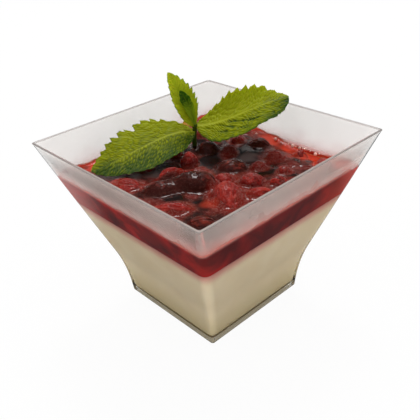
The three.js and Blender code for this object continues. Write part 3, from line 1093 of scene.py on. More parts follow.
@dataclass
class FruitPiece:
    """One piece of fruit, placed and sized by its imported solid.

    Its surface is an ellipsoid whose points move along their own rays: folds run over the top of
    a cherry, flesh is lumpy with fibres, and a berry is smooth or set with drupelets.
    """

    node: str
    kind: FruitKind
    centre: Array
    half: Array
    turn: float
    seed: int
    drupelets: int = 0
    film: float = 0.08
    wrinkle: float = 0.0
    wrinkle_gap: float = 1.8
    lump: float = 0.05
    fold_gap: float = 3.4
    fold_depth: float = 0.2
    ridge: float = 0.2
    valley_depth: float = 0.3
    valley_width: float = 0.16
    around: int = 144
    rows: int = 96

    @classmethod
    def from_node(cls, node: str, mesh: Mesh, seed: int, drupelets: int) -> FruitPiece:
        """Reads the place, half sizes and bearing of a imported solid.

        Args:
            node: The node's name.
            mesh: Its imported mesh, in metres.
            seed: Seed of the piece's own relief.
            drupelets: How many it is set with.

        Returns:
            The piece.
        """
        flat = np.zeros(len(mesh.vertices) * 3)
        mesh.vertices.foreach_get("co", flat)
        places = flat.reshape(-1, 3) / MM
        spread = np.cov((places[:, :2] - places[:, :2].mean(0)).T)
        long_way = np.linalg.eigh(spread)[1][:, 1]
        turn = math.atan2(long_way[1], long_way[0])
        own = turned(places, -turn)
        low, high = own.min(0), own.max(0)
        kind = next(k for k in FruitKind if node.startswith(k.value))
        return cls(node, kind, turned((low + high) / 2, turn), (high - low) / 2, turn, seed, drupelets)

    def relief(self, rays: Array) -> tuple[Array, Array]:
        """How far each point moves along its ray, and how deep in a fold it lies.

        A cherry's folds are bent stripes with fine wrinkles between them. Flesh has
        ridges where a stretched field is near 0. Drupelets are the cells round spots spread evenly.

        Args:
            rays: Unit directions from the middle.

        Returns:
            The shift, and the crease mark from 0 to 1 that sets the painted shade in the folds.
        """
        own = rays * self.half
        lumps = soft_field(rays, 1.6, self.seed) * self.lump * self.half.mean()
        if self.kind is FruitKind.CHERRY:
            bent = own[..., 1] + 0.9 * soft_field(own, 6.0, self.seed + 7)
            folds = np.abs(np.sin(bent * math.pi / self.fold_gap + self.seed))
            crease = smooth_step(0.3, 0.0, folds) * smooth_step(-0.3, 0.3, rays[..., 2])
            wrinkles = soft_field(own * np.array([0.4, 1.0, 0.7]), 0.8, self.seed + 3, 24)
            mark = 0.6 * crease + 0.3 * smooth_step(0, 1.5, -wrinkles)
            return lumps + 0.045 * wrinkles - self.fold_depth * crease, mark
        if self.kind is FruitKind.FLESH:
            lean = own @ np.array([[0.25, 0.0, 0.0], [0.3, 1.0, 0.0], [0.0, 0.0, 0.8]])
            fibres = np.abs(soft_field(lean, 1.7, self.seed + 5, 24))
            fine = soft_field(own, 0.7, self.seed + 6, 24)
            ridges = self.ridge * (1 - fibres) + 0.035 * fine
            return 1.8 * lumps + ridges - 0.1, 0.6 * smooth_step(0.4, 1.9, fibres - 0.1 * fine)
        if self.drupelets:
            gaps = np.arccos(np.clip(rays @ self.spots(self.drupelets).T, -1, 1))
            near = np.sort(gaps, axis=-1)[..., :2]
            valley = smooth_step(self.valley_width, 0.0, near[..., 1] - near[..., 0])
            return -self.valley_depth * valley, 0.8 * valley
        fine = soft_field(own, 1.0, self.seed + 9, 24)
        broad = soft_field(own, 2.6, self.seed + 10)
        return 0.8 * lumps + 0.1 * broad + 0.04 * fine, smooth_step(0.2, 1.6, -fine - 0.5 * broad)

    @staticmethod
    def spots(count: int) -> Array:
        """Directions spread evenly over a sphere by the golden angle.

        Args:
            count: How many.

        Returns:
            The directions, one row each.
        """
        k = np.arange(count)
        z = 1 - (2 * k + 1) / count
        bearing = k * math.pi * (3 - math.sqrt(5))
        level = np.sqrt(1 - z * z)
        return np.stack([level * np.cos(bearing), level * np.sin(bearing), z], -1)

    def outline_share(self, xy: Array) -> Array:
        """The square of how far places lie out from the middle: 1 on the piece's outline from above."""
        return ((turned(xy - self.centre[:2], -self.turn) / self.half[:2]) ** 2).sum(-1)

    def wrinkles(self, xy: Array) -> Array:
        """Fine folds that run along the piece, over places in the plane."""
        stretched = turned(xy, -self.turn) * np.array([0.3, 1.0])
        return self.wrinkle * soft_field(stretched, self.wrinkle_gap, self.seed + 31)

    def top_surface(self, q: Array) -> Array:
        """Height of the plain ellipsoid's top where the squared share is q, falling away outside."""
        return self.centre[2] + self.half[2] * (np.sqrt(np.clip(1 - q, 0, 1)) - 2.5 * np.clip(q - 1, 0, 9))

    def build(self) -> None:
        """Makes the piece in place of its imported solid."""
        rays, faces = unit_ball(self.rows, self.around)
        shift, crease = self.relief(rays)
        points = turned(rays * self.half + rays * shift[:, None], self.turn) + self.centre
        look = LOOKS[self.kind]
        marks = {"crease": crease}
        make_piece(f"{self.node}_glazed", points, faces, (self.node,), [look.finish], marks)


@dataclass
class Jelly:
    """The compote's jelly: it climbs the wall and each piece of fruit as a wet film does.

    The top is the soft maximum of a swelling level and of every fruit's top lowered by the film's
    depth, so it rises into a fillet round each piece and leaves the crowns bare. Its edge dips
    where it has drawn away from the walls behind.

    A dip has a place, its reach in x and in y, and its depth. Spots of juice have a place, a
    radius and, but for the clear ones, a strength.
    """

    form: CupForm
    fruit: list[FruitPiece]
    bottom: float
    level: float = 49.0
    bite: float = 0.15
    blend: float = 0.5
    climb: float = 0.9
    climb_reach: float = 1.1
    swell: float = 0.2
    swell_length: float = 11.0
    pulp: float = 0.045
    shine_reach: float = 1.8
    finish: Finish = CompoteJelly()
    ring: SquareRing = SquareRing(arc_steps=8, side_steps=72)
    side_rows: int = 26
    rings_in: int = 150
    dips: Spots = ((17.0, 33.0, 16.0, 4.0, 2.7), (-33.0, -22.0, 4.0, 8.0, 0.8))
    clear_juice: Spots = (
        (0.7, 20.2, 5.5), (-9.0, -10.0, 5.0), (-4.0, 5.0, 4.5), (15.5, -16.5, 4.0), (26.0, -26.0, 6.0),
    )
    # patches of painted sky reflection on the juice: place, radius and strength
    painted_sheen_spots: Spots = (
        (-9.3, -10.0, 3.2, 0.6), (-12.0, -14.2, 3.4, 0.8), (-14.8, -18.4, 3.0, 0.6), (3.6, 15.6, 3.8, 0.55),
    )
    # spots of painted glow, where light would come through thin juice
    thin_glow_spots: Spots = (
        (8.0, 33.0, 5.0, 1.0), (17.0, 32.0, 7.0, 1.0), (27.0, 31.0, 7.0, 1.0), (34.0, 33.0, 6.0, 1.0),
        (-32.0, -22.0, 5.0, 1.0), (0.0, 33.0, 5.0, 1.0), (16.7, -15.5, 3.0, 0.4),
    )

    def height(self, xy: Array, half: float) -> tuple[Array, Array]:
        """Height and tone of the jelly's top.

        The tone runs from clear dark juice, 0, to red pulp, 1. It follows each piece of fruit and
        fades out round it, over soft patches of sunken pulp.

        Args:
            xy: Places in the plane, coordinates last.
            half: Half width of the jelly at its top.

        Returns:
            Heights, and tones.
        """
        from_wall = half - np.abs(xy).max(-1)
        sunken = smooth_step(-1.3, 0.5, soft_field(xy, 12.0, 8) + 0.4 * soft_field(xy, 4.0, 9))
        for x, y, radius in self.clear_juice:
            near = np.hypot(xy[..., 0] - x, xy[..., 1] - y) / radius
            sunken = sunken * smooth_step(0.6, 1.2, near)
        tone, held, folds = 0.48 * sunken, np.zeros_like(sunken), np.zeros_like(sunken)
        swell = self.swell * soft_field(xy, self.swell_length, 5) * smooth_step(0, 5, from_wall)
        edge = 1 + 0.35 * soft_field(xy, 9.0, 14) + 0.15 * soft_field(xy, 3.0, 15)
        base = swell + self.climb * edge * np.exp(-from_wall / self.climb_reach)
        for x, y, reach_x, reach_y, depth in self.dips:
            base = base - depth * bell(xy[..., 0] - x, reach_x) * bell(xy[..., 1] - y, reach_y)
        total = np.exp(base / self.blend)
        for piece in self.fruit:
            share = piece.outline_share(xy)
            lift = piece.top_surface(share) - piece.film - self.level
            total += np.exp(np.clip(lift, -9, 9) / self.blend)
            hold = smooth_step(2.1, 0.9, share)
            held = np.maximum(held, hold)
            tone = tone + (LOOKS[piece.kind].redness - tone) * hold
            if piece.wrinkle:
                folds = folds + hold * piece.wrinkles(xy)
        rough = np.maximum(sunken, held) * smooth_step(0.3, 2.0, from_wall)
        grain = soft_field(xy, 1.7, 16) + 0.6 * soft_field(xy * np.array([1.0, 0.6]), 0.9, 17)
        return self.level + self.blend * np.log(total) + self.pulp * grain * rough + folds, tone

    def build(self) -> None:
        """Lofts the jelly's side up to its uneven brim and closes it with the hugging top."""
        f = self.form
        edge_z = self.level + self.climb
        side_z = np.linspace(self.bottom, edge_z, self.side_rows)
        side_half = f.inner_half(side_z) + self.bite
        side_corner = f.hollow_corner(side_z) + self.bite
        inset = np.array([0.2, 0.9])
        low = self.ring.rings(side_half[0] * inset, side_corner[0] * inset, np.full(2, self.bottom))
        level_brim = self.ring.rings(side_half[-1:], side_corner[-1:], side_z[-1:])
        drop = self.height(level_brim[..., :2], side_half[-1])[0] - edge_z
        heights = side_z[:, None] + drop * smooth_step(self.bottom, edge_z, side_z)[:, None]
        true_half = f.inner_half(heights) + self.bite
        side = self.ring.rings(true_half, side_corner, heights)
        share = 1 - np.linspace(0, 1, self.rings_in + 1)[1:] ** 1.15 * 0.99
        top = self.ring.rings(share[:, None] * true_half[-1:], side_corner[-1] * share, np.zeros_like(share))
        top[..., 2], top_tone = self.height(top[..., :2], side_half[-1])
        points, faces = closed_loft(np.concatenate([low, side, top]))
        beside = low[..., 0].size + side[..., 0].size
        tone = np.concatenate([np.zeros(beside), top_tone.ravel(), [0, top_tone[-1].mean()]])
        on_side = np.ones(len(points), bool)
        on_side[beside:-2] = False
        on_side[-1] = False
        half_here = np.interp(points[:, 2], side_z, side_half)
        marks = self.marks(points, on_side, tone, half_here)
        make_piece("compote_jelly", points, faces, ("berry_sauce",), [self.finish], marks)

    def marks(self, points: Array, on_side: Array, tone: Array,
              half: Array) -> dict[str, Array]:
        """What the finish needs to know of each point.

        Args:
            points: The jelly's points.
            on_side: Whether each is on the side or the bottom, and not on the open top.
            tone: The top's tone.
            half: The jelly's half width at each point's height.

        Returns:
            The marks, each from 0 to 1.
        """
        flat, height = points[:, :2], points[:, 2]
        across, towards = np.abs(flat), forwardness(points)
        open_top = 1.0 - on_side
        ragged = 0.15 * soft_field(flat, 5.0, 19)
        # painted glow: brighter red near the walls and in the listed spots, as if lit through thin juice
        at_wall = 0.85 * np.exp(-np.clip(half - across.max(-1), 0, None) / self.shine_reach)
        shone = np.maximum(at_wall, spotted(flat, self.thin_glow_spots, (1.3, 0.3), ragged))
        # painted glow on the side band near its corners, most beside the two side corners
        in_corner = 0.08 * smooth_step(0.75, 1.0, across.min(-1) / half)
        beside = 0.6 * smooth_step(0.35, 0.02, np.abs(towards))
        below = smooth_step(self.level + 0.2, self.level - 0.8, height)
        thin = np.clip(np.where(on_side, below * (in_corner + beside), shone), 0, 1)
        right = on_right_face(points) * smooth_step(1.0, 0.8, towards) * smooth_step(0.05, 0.4, towards)
        wet = open_top * (1 - 0.8 * thin)
        for piece in self.fruit:
            if piece.wrinkle:
                wet *= 1 - 0.5 * smooth_step(1.5, 0.8, piece.outline_share(flat))
        return {
            "thin": thin, "open_top": open_top, "tone": np.where(on_side, right, tone), "wet": wet,
            "brim": on_side * smooth_step(self.level - 0.7, self.level + 1.0, height),
            "painted_sheen": open_top * spotted(flat, self.painted_sheen_spots, (1.2, 0.4), ragged),
        }


@dataclass
class JuiceBubbles:
    """Air bubbles in the juice's edge: closed domes, each a ball a little sunk in the jelly.

    Each spot is a place in x and y, and a radius.
    """

    spots: tuple[Point, ...] = (
        (-7.4, 32.6, 0.4), (1.3, 33.3, 0.6), (4.2, 32.8, 0.25), (7.4, 33.2, 0.3), (9.8, 32.6, 0.68),
        (10.8, 33.1, 0.3), (12.7, 32.8, 0.55), (13.8, 33.2, 0.4), (14.8, 33.4, 0.55), (16.8, 33.4, 0.26),
        (19.9, 32.3, 0.62), (20.6, 33.5, 0.32),
    )
    level: float = 48.65
    proud: float = 0.4
    around: int = 14
    rows: int = 8
    finish: Finish = BubbleSkin()

    def build(self) -> None:
        """Makes all the bubbles as one piece."""
        ball, faces = unit_ball(self.rows, self.around)
        spots = np.array(self.spots)
        middles = np.column_stack([spots[:, :2], self.level + self.proud * spots[:, 2]])
        points = (ball * spots[:, None, 2:] + middles[:, None]).reshape(-1, 3)
        shift = (np.arange(len(spots)) * len(ball))[:, None, None]
        faces = [(kind + shift).reshape(-1, kind.shape[1]) for kind in faces]
        make_piece("juice_bubbles", points, faces, (), [self.finish])


@dataclass
class Compote:
    """The fruit and the jelly that holds it.

    The joined skin is a cherry's that lies under the juice between two others: its middle, half
    sizes and bearing.
    """

    form: CupForm
    nodes: dict[str, Object]
    bottom: float
    joined_skin: tuple[Point, Point, float] = ((1.0, -14.0, 47.9), (8.2, 5.0, 3.5), 61.0)
    skin_wrinkle: float = 0.07
    drupelets: int = 70
    raspberries: tuple[str, ...] = ("red_berry_2", "red_berry_4", "red_berry_7", "red_berry_11")
    seeds: tuple[int, int] = (11, 5)

    def build(self) -> None:
        """Makes the fruit, then the jelly round it and the bubbles at its edge."""
        names = sorted(n for n in self.nodes if any(n.startswith(k.value) for k in FruitKind))
        first, step = self.seeds
        set_with = {n: self.drupelets for n in self.raspberries}
        fruit = [
            FruitPiece.from_node(n, self.nodes[n].data, first + step * i, set_with.get(n, 0))
            for i, n in enumerate(names)
        ]
        for piece in fruit:
            piece.build()
        centre, half, turn = self.joined_skin
        under = FruitPiece("joined_skin", FruitKind.CHERRY, np.array(centre), np.array(half),
                           math.radians(turn), 0, wrinkle=self.skin_wrinkle)
        Jelly(self.form, fruit + [under], self.bottom).build()
        JuiceBubbles().build()


# The mint


@dataclass
class MintLeaf:
    """A leaf laid on a midrib curve.

    A point lies at u along the midrib and v across it, from -1 to 1. Its width follows a warped
    sine, its sides fold and curl, saw teeth cut its edge, and the blade swells between its veins.
    Pairs are for the halves on the left and right. A dent has its side, place, spread and depth.
    """

    name: str
    finish: Finish
    midrib: tuple[Point, ...]
    up: tuple[Point, Point]
    reach: Pair
    fold: Pair
    droop: float
    widest: float
    ends: Pair
    teeth: int
    ripple: float
    seed: int
    rows: int = 260
    columns: int = 97
    thick: float = 0.32
    base_width: float = 0.55
    tip_width: float = 0.12
    tooth_rise: float = 0.72
    tooth_depth: float = 0.15
    tooth_sides: Pair = (1.0, 1.0)
    dents: tuple[tuple[float, float, float, float], ...] = ()
    dark_rim: float = 0.35
    edge_sweep: float = 0.035
    vein_gap: float = 4.6
    vein_width: float = 0.17
    veinlet_width: float = 0.14
    rib_width: float = 0.42
    rib_depth: float = 0.18
    quilt: float = 0.26
    cell: float = 1.2
    rib_mark: float = 0.9
    bulge: float = 0.36
    # painted light and shade over the blade: its level, its change along the midrib and its change across
    light_and_shade: Point = (0.6, -0.2, 0.0)
    creases: tuple[tuple[float, float, float, float, float], ...] = ()
    crease_width: float = 0.55
    crease_depth: float = 0.4

    def blade(self, u: Array) -> Array:
        """The width along the leaf: a sine, warped so that its crest lies at the widest place.

        Args:
            u: Shares of the midrib.

        Returns:
            The width, from 0 at the ends to 1.
        """
        before = u < self.widest
        warped = np.where(before, 0.5 * u / self.widest, 0.5 + 0.5 * (u - self.widest) / (1 - self.widest))
        return np.clip(np.sin(math.pi * warped), 0, 1) ** np.where(before, *self.ends)

    def middle(self, u: Array) -> tuple[Array, Array, Array]:
        """The midrib's places, directions and the blade's upward direction.

        Args:
            u: Shares of the midrib, one row each.

        Returns:
            Three arrays of vectors.
        """
        p, r = np.array(self.midrib), 1 - u
        place = r ** 3 * p[0] + 3 * u * r * r * p[1] + 3 * u * u * r * p[2] + u ** 3 * p[3]
        along = unit(r * r * (p[1] - p[0]) + 2 * u * r * (p[2] - p[1]) + u * u * (p[3] - p[2]))
        up = r * np.array(self.up[0]) + u * np.array(self.up[1])
        return place, along, unit(up - (up * along).sum(-1, keepdims=True) * along)

    def veins(self, along: Array, out: Array, side: Array) -> dict[str, Array]:
        """The side veins and the net of veinlets between them.

        Side veins leave the midrib at about 50 degrees, bend towards the tip and wander a little.
        The net is the border between cells laid out on a jittered grid that leans with the veins.

        Args:
            along: Distance along the midrib.
            out: Distance from the midrib.
            side: 0 or 1 for the two halves, whose veins alternate.

        Returns:
            How near a side vein and a veinlet each point is, and the swell between each of them.
        """
        grid = np.stack([along, out * (2 * side - 1)], -1)
        wander = 0.16 * self.vein_gap * soft_field(grid, 2.2 * self.vein_gap, self.seed + 1)
        start = along - 0.72 * out - 0.018 * out ** 2 + wander
        share = (start / self.vein_gap + 0.5 * side) % 1.0
        from_vein = np.minimum(share, 1 - share) * self.vein_gap * 0.78
        lean = np.stack([start, grid[..., 1]], -1)
        first, second = cell_distances(lean / (self.cell * np.array([0.85, 1.5])), self.seed)
        return {
            "vein": bell(from_vein, self.vein_width), "swell": np.sin(math.pi * share) ** 0.6,
            "veinlet": bell(second - first, self.veinlet_width), "cell": 1 - bell(second - first, 0.4),
        }

    def creased(self, u: Array, v: Array, length: float) -> Array:
        """How near each point is to one of the short folds between the veins.

        A fold is a straight line between two places on the blade, and fades off as a bell.

        Args:
            u: Shares along the midrib, one row each.
            v: Shares across the blade.
            length: The midrib's length.

        Returns:
            0 off the folds, and up to each fold's strength on its line.
        """
        size = np.array([length, self.reach[1]])
        flat = np.stack(np.broadcast_arrays(u, v), -1) * size
        folded = np.zeros(flat.shape[:2])
        for *ends, strength in self.creases:
            first, second = np.array(ends).reshape(2, 2) * size
            way = second - first
            share = np.clip((flat - first) @ way / (way @ way), 0, 1)
            gap = np.linalg.norm(flat - first - share[..., None] * way, axis=-1)
            folded = np.maximum(folded, strength * bell(gap, self.crease_width))
        return folded

    def surface(self) -> tuple[Array, Array, dict[str, Array]]:
        """The blade's two faces.

        Returns:
            The upper and lower points on the grid, and the marks for the finish.
        """
        u = np.linspace(0, 1, self.rows)[:, None]
        v = np.linspace(-1, 1, self.columns)
        edge, left = np.abs(v), v < 0
        place, along, up = self.middle(u)
        sideways = np.cross(along, up)
        length = float(np.linalg.norm(np.diff(place, axis=0), axis=1).sum())
        shape = self.blade(u)
        phase, turning = (u * self.teeth) % 1.0, self.tooth_rise
        tooth = np.where(phase < turning, phase / turning, (1 - phase) / (1 - turning)) - 0.5
        uneven = 1 + 0.3 * soft_field(u * self.teeth, 2.6, self.seed + 2)[:, None]
        tooth = tooth * uneven * np.where(left, *self.tooth_sides)
        reach, fold = np.where(left, *self.reach), np.where(left, *self.fold)
        width = reach * shape * (1 + edge ** 3 * self.tooth_depth * tooth)
        for side, spot, spread, depth in self.dents:
            width = width * (1 - depth * bell(u - spot, spread) * (v * side > 0) * edge ** 4)
        width = np.maximum(width, self.base_width + (self.tip_width - self.base_width) * u)
        out = v * width
        across = np.abs(out)
        net = self.veins(length * u + 0 * out, across, (v > 0) + 0 * out)
        fade, inner = smooth_step(0.0, 0.14, shape), smooth_step(0.0, 1.3, across)
        folded = self.creased(u, v, length)
        lift = across * fold - self.droop * out ** 2 / reach
        lift = lift + self.ripple * edge ** 2 * shape * np.sin(3 * TAU * u + 1.3 * (v > 0))
        lift = lift + fade * inner * (self.quilt * (net["swell"] - 0.6) + self.bulge * (net["cell"] - 0.5))
        lift = lift - self.rib_depth * bell(across, self.rib_width) * fade - self.crease_depth * folded
        forward = (edge ** 2 * self.edge_sweep * length + edge ** 8 * tooth * 0.7) * shape
        centre = place[:, None] + sideways[:, None] * (out / np.hypot(1, fold))[..., None]
        centre = centre + up[:, None] * lift[..., None] + along[:, None] * forward[..., None]
        rim = np.sqrt(np.clip(1 - edge ** 6, 0.06, 1)) * smooth_step(-0.02, 0.04, 1 - u)
        half_thick = (0.5 * self.thick * rim)[..., None] * up[:, None]
        rib = self.rib_mark * bell(across, 0.18 + 0.4 * (1 - u)) * (1 - u) ** 0.7
        lines = 0.4 * net["vein"] * (1 - 0.6 * edge) + 0.12 * net["veinlet"]
        # painted light on the domes of the quilting, painted light and shade by place on the blade, painted
        # shade in the folds, and darker along the rim
        light_slope = self.light_and_shade[0] + self.light_and_shade[1] * u + self.light_and_shade[2] * v
        marks = {
            "vein": np.clip(rib + lines * inner * fade, 0, 1),
            "crest": 0.5 * net["cell"] * (0.5 + 0.5 * net["swell"]),
            "light_and_shade": np.clip(light_slope - self.dark_rim * edge ** 14 - 0.5 * folded, 0, 1),
        }
        return centre + half_thick, centre - half_thick, marks

    def build(self) -> None:
        """Joins the blade's two faces round their rim."""
        upper, lower, marks = self.surface()
        count = self.rows * self.columns
        quads = grid_faces(self.rows, self.columns)
        numbers = np.arange(count).reshape(self.rows, self.columns)
        rim = np.concatenate([numbers[0], numbers[1:, -1], numbers[-1, -2::-1], numbers[-2:0:-1, 0]])
        after = np.roll(rim, -1)
        band = np.stack([rim, rim + count, after + count, after], -1)
        points = np.concatenate([upper.reshape(-1, 3), lower.reshape(-1, 3)])
        faces = np.concatenate([quads, (quads + count)[:, ::-1], band])
        doubled = {mark: np.tile(values.ravel(), 2) for mark, values in marks.items()}
        make_piece(self.name, points, [faces], ("mint_sprig",), [self.finish], doubled)


@dataclass
class MintStem:
    """The sprig's stem: a squarish section carried up a bowed line, thicker at its joint.

    The joint has its share of the way up, its spread and how much thicker it is.
    """

    finish: Finish = MintBlade("mint_stem_skin", shade="3E5410", light="62761E", vein="6A7C2C", scatter=0.1)
    bow: tuple[Point, ...] = ((-17.4, 10.2, 46.4), (-17.2, 10.4, 52.0), (-16.1, 10.2, 57.6))
    radius: float = 0.9
    joint: Point = (0.93, 0.06, 0.25)
    taper: float = 0.12
    squareness: float = 0.08
    rows: int = 60
    around: int = 28

    def build(self) -> None:
        """Carries the section from the juice up to the leaves."""
        u = np.linspace(0, 1, self.rows)[:, None]
        a, b, c = np.array(self.bow)
        place = (1 - u) ** 2 * a + 2 * u * (1 - u) * b + u * u * c
        bearing = np.arange(self.around) * TAU / self.around
        place_up, spread, thicker = self.joint
        swell = 1 + thicker * bell(u - place_up, spread) - self.taper * u
        square = 1 + self.squareness * np.cos(4 * bearing)
        radius = self.radius * swell * square * np.where(u > 0.99, 0.6, 1.0)
        ways = np.stack([np.cos(bearing), np.sin(bearing), np.zeros(self.around)], -1)
        points, faces = closed_loft(place[:, None] + radius[..., None] * ways)
        levels = {"vein": 0.1, "crest": 0.0, "light_and_shade": 0.2}
        marks = {mark: np.full(len(points), level) for mark, level in levels.items()}
        make_piece("mint_stem", points, faces, ("mint_sprig",), [self.finish], marks)


@dataclass
class MintSprig:
    """The stem, its four leaves and a small dry bract."""

    leaves: tuple[MintLeaf, ...] = (
        MintLeaf(
            "mint_leaf_left", MintBlade(),
            ((-16.3, 10, 55), (-19.2, -0.7, 58.7), (-19.7, -16.8, 53.2), (-24.6, -28.8, 51.4)),
            ((0.19, -0.04, 1), (0.18, -0.08, 1)), (12, 10.6), (-0.1, 0.03), -0.14, 0.46, (0.58, 0.76),
            13, 0.35, 21, light_and_shade=(0.45, -0.3, 0.3), tooth_sides=(0.3, 1.0),
            dents=((1, 0.47, 0.035, 0.16), (1, 0.56, 0.014, -0.1), (1, 0.62, 0.02, 0.06)),
        ),
        MintLeaf(
            "mint_leaf_right", MintBlade(),
            ((-16, 10.4, 57.2), (-9.3, 17.5, 56.3), (0.1, 23.5, 65), (6.2, 34.1, 66.1)),
            ((0.29, -0.55, 1), (0.22, -0.06, 1)), (9.1, 14), (-0.19, -0.24), -0.53, 0.53, (0.64, 0.72),
            11, 0.35, 22, light_and_shade=(0.7, -0.35, -0.34), tooth_sides=(0.9, 0.7),
            creases=(
                (0.38, 0.08, 0.66, 0.42, 0.8), (0.66, 0.42, 0.82, 0.62, 0.35), (0.27, 0.12, 0.41, 0.35, 0.65),
                (0.24, 0.4, 0.33, 0.44, 0.7), (0.14, 0.2, 0.2, 0.32, 0.4), (0.46, 0.45, 0.54, 0.6, 0.4),
            ),
        ),
        MintLeaf(
            # a lighter copy of the blade's colours: painted light, as on a leaf lit from behind
            "mint_leaf_tall", MintBlade("sunlit_mint_blade", shade="46620E", light="A0A618", scatter=0.4),
            ((-16.1, 10.3, 56.9), (-17.8, 7.9, 61.3), (-18.3, 6.3, 69.7), (-23, 5.5, 76)),
            ((1.32, -0.38, 1), (1.31, -0.54, 1)), (5.1, 5), (0.51, 0.21), -0.08, 0.48, (0.63, 0.79),
            11, 0.15, 23, rows=200, columns=73, vein_gap=3.0, quilt=0.16, cell=1.1, bulge=0.2,
            light_and_shade=(0.75, -0.1, 0.0), dark_rim=0.9, tooth_sides=(0.8, 1.2),
        ),
        MintLeaf(
            "mint_leaf_small", MintBlade("young_mint_blade", shade="1C4608", light="8AA41C", vein="86A028"),
            ((-15.8, 10, 56.9), (-15.5, 8.9, 61.0), (-15.2, 7.4, 66.4), (-16.6, 4.9, 71.2)),
            ((0.9, -1.2, 0.5), (0.9, -1.2, 0.9)), (1.9, 1.9), (0.35, 0.35), 0, 0.72, (0.9, 0.8), 6, 0, 24,
            rows=120, columns=41, vein_gap=1.8, quilt=0.12, cell=1.0, bulge=0.1, light_and_shade=(1.4, -1.75, 0.0),
        ),
        MintLeaf(
            "mint_bract", MintBlade("dry_mint_bract", shade="9A5A18", light="D0963C", vein="E0B464"),
            ((-16.2, 10.2, 56.6), (-17.2, 9.4, 57.9), (-18.2, 8.4, 58.3), (-19.2, 7.2, 57.9)),
            ((0.6, -0.6, 1), (0.6, -0.6, 1)), (1.3, 1.3), (0.3, 0.3), 0, 0.45, (0.6, 0.7), 3, 0.1, 25,
            rows=50, columns=21, vein_gap=0.9, quilt=0.1, cell=0.7, bulge=0.05, light_and_shade=(0.6, 0.0, 0.0),
            thick=0.25, base_width=0.4,
        ),
    )

    def build(self) -> None:
        """Makes the leaves and the stem."""
        for part in (*self.leaves, MintStem()):
            part.build()


# The studio


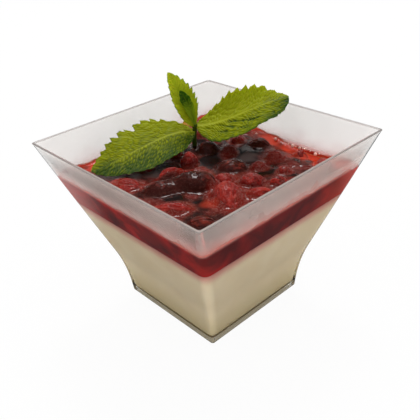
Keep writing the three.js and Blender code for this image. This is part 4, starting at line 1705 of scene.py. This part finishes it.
@dataclass
class Studio:
    """A pale floor, soft light from above and all round, and the camera of the photograph.

    The lens is given by its length and the picture's width in pixels, on a film in millimetres.
    """

    lens_pixels: Pair = (570.271, 420.0)
    film: float = 36.0
    distance: float = 198.165
    elevation: float = 30.949
    roll: float = -3.342
    aim_height: float = 30.583
    slide: Pair = (0.0895, 2.38)
    floor_half: float = 3000.0
    sky: Pair = (0.1, 1.34)
    sky_rise: Pair = (0.45, 0.95)
    mirrored_sky: float = 0.19
    sky_through: float = 0.85
    backdrop: float = 0.8
    backdrop_top: Pair = (0.18, 0.34)
    lamps: tuple[tuple[str, float, float, Point], ...] = (
        ("overhead_lamp", 230.0, 3.8, (-350.0, 350.0, 900.0)),
        ("back_panel", 1000.0, 0.4, (-850.0, 780.0, 640.0)),
    )

    def camera(self) -> None:
        """Places the camera at its fitted bearing, distance and roll."""
        a, e, r = CAMERA_AZIMUTH, math.radians(self.elevation), math.radians(self.roll)
        back = Vector((math.sin(a) * math.cos(e), -math.cos(a) * math.cos(e), math.sin(e)))
        right = Vector((math.cos(a), math.sin(a), 0))
        up = back.cross(right)
        right, up = math.cos(r) * right + math.sin(r) * up, math.cos(r) * up - math.sin(r) * right
        aim = Vector((0, 0, self.aim_height))
        place = aim + back * self.distance + up * self.slide[1] + right * self.slide[0]
        data = bpy.data.cameras.new("camera")
        data.sensor_width = self.film
        data.lens = self.film * self.lens_pixels[0] / self.lens_pixels[1]
        data.clip_start, data.clip_end = 0.01, 20
        camera = bpy.data.objects.new("camera", data)
        turn = Matrix((right, up, back)).transposed().to_4x4()
        camera.matrix_world = Matrix.Translation(place * MM) @ turn
        bpy.context.scene.collection.objects.link(camera)
        bpy.context.scene.camera = camera

    def floor(self) -> None:
        """Lays the plain pale floor."""
        h = self.floor_half * MM
        mesh = bpy.data.meshes.new("floor")
        mesh.from_pydata([(-h, -h, 0), (h, -h, 0), (h, h, 0), (-h, h, 0)], [], [(0, 1, 2, 3)])
        mesh.materials.append(GlowingBoard().material())
        floor = bpy.data.objects.new("floor", mesh)
        bpy.context.scene.collection.objects.link(floor)

    def lights(self) -> None:
        """Hangs a soft lamp and a dim panel."""
        for name, size, watts, spot in self.lamps:
            data = bpy.data.lights.new(name, "AREA")
            data.shape, data.size, data.energy = "SQUARE", size * MM, watts
            lamp = bpy.data.objects.new(name, data)
            place = Vector(spot) * MM
            lamp.matrix_world = Matrix.Translation(place) @ place.to_track_quat("Z", "Y").to_matrix().to_4x4()
            lamp.visible_camera = False
            bpy.context.scene.collection.objects.link(lamp)

    def world(self) -> None:
        """Spans a sky that is brighter overhead, dimmer in mirrored light, and even through the plastic."""
        world = bpy.data.worlds.new("studio")
        world.use_nodes = True
        tree = world.node_tree
        up = add_node(tree, "SeparateXYZ", {"Vector": add_node(tree, "TexCoord", out="Generated")}, "Z")
        rise, backdrop = (
            add_node(tree, "MapRange", span(up, ends, *levels), interpolation_type="SMOOTHSTEP")
            for ends, levels in ((self.sky_rise, self.sky), (self.backdrop_top, (self.backdrop, 0.0)))
        )
        mirrored = add_node(tree, "LightPath", out="Is Glossy Ray")
        depth = add_node(tree, "LightPath", out="Transmission Depth")
        damped = add_node(tree, "Math", {0: mirrored, 1: self.mirrored_sky - 1, 2: 1.0})
        direct = add_node(tree, "Math", {0: rise, 1: damped, 2: backdrop})
        inside = add_node(tree, "Math", {0: depth, 1: 1.0}, operation="MINIMUM")
        through = add_node(tree, "Math", {0: inside, 1: self.sky_through}, operation="MULTIPLY")
        strength = add_node(tree, "Math", {0: direct, 1: through}, operation="MAXIMUM")
        feed(tree.nodes["Background"], {"Color": "FFFFFF", "Strength": strength})
        bpy.context.scene.world = world

    def build(self) -> None:
        """Sets up the camera, floor, lights and plain colour handling."""
        for step in (self.camera, self.floor, self.lights, self.world):
            step()
        bpy.context.scene.view_settings.view_transform = "Standard"


def main() -> None:
    """Builds the dessert and the studio."""
    logging.basicConfig(level=logging.INFO, format="%(message)s")
    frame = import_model()
    cup_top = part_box("cup")[1]
    form = CupForm(rim_half=cup_top.x / MM, height=cup_top.z / MM)
    cream_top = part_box("panna_cotta")[1].z / MM
    ClearCup(form).build()
    MistOnWall(form, low=48.2).build()
    CreamFill(form, cream_top).build()
    Compote(form, frame["nodes"], cream_top).build()
    MintSprig().build()
    Studio().build()
    bpy.context.view_layer.update()


if __name__ == "__main__":
    main()
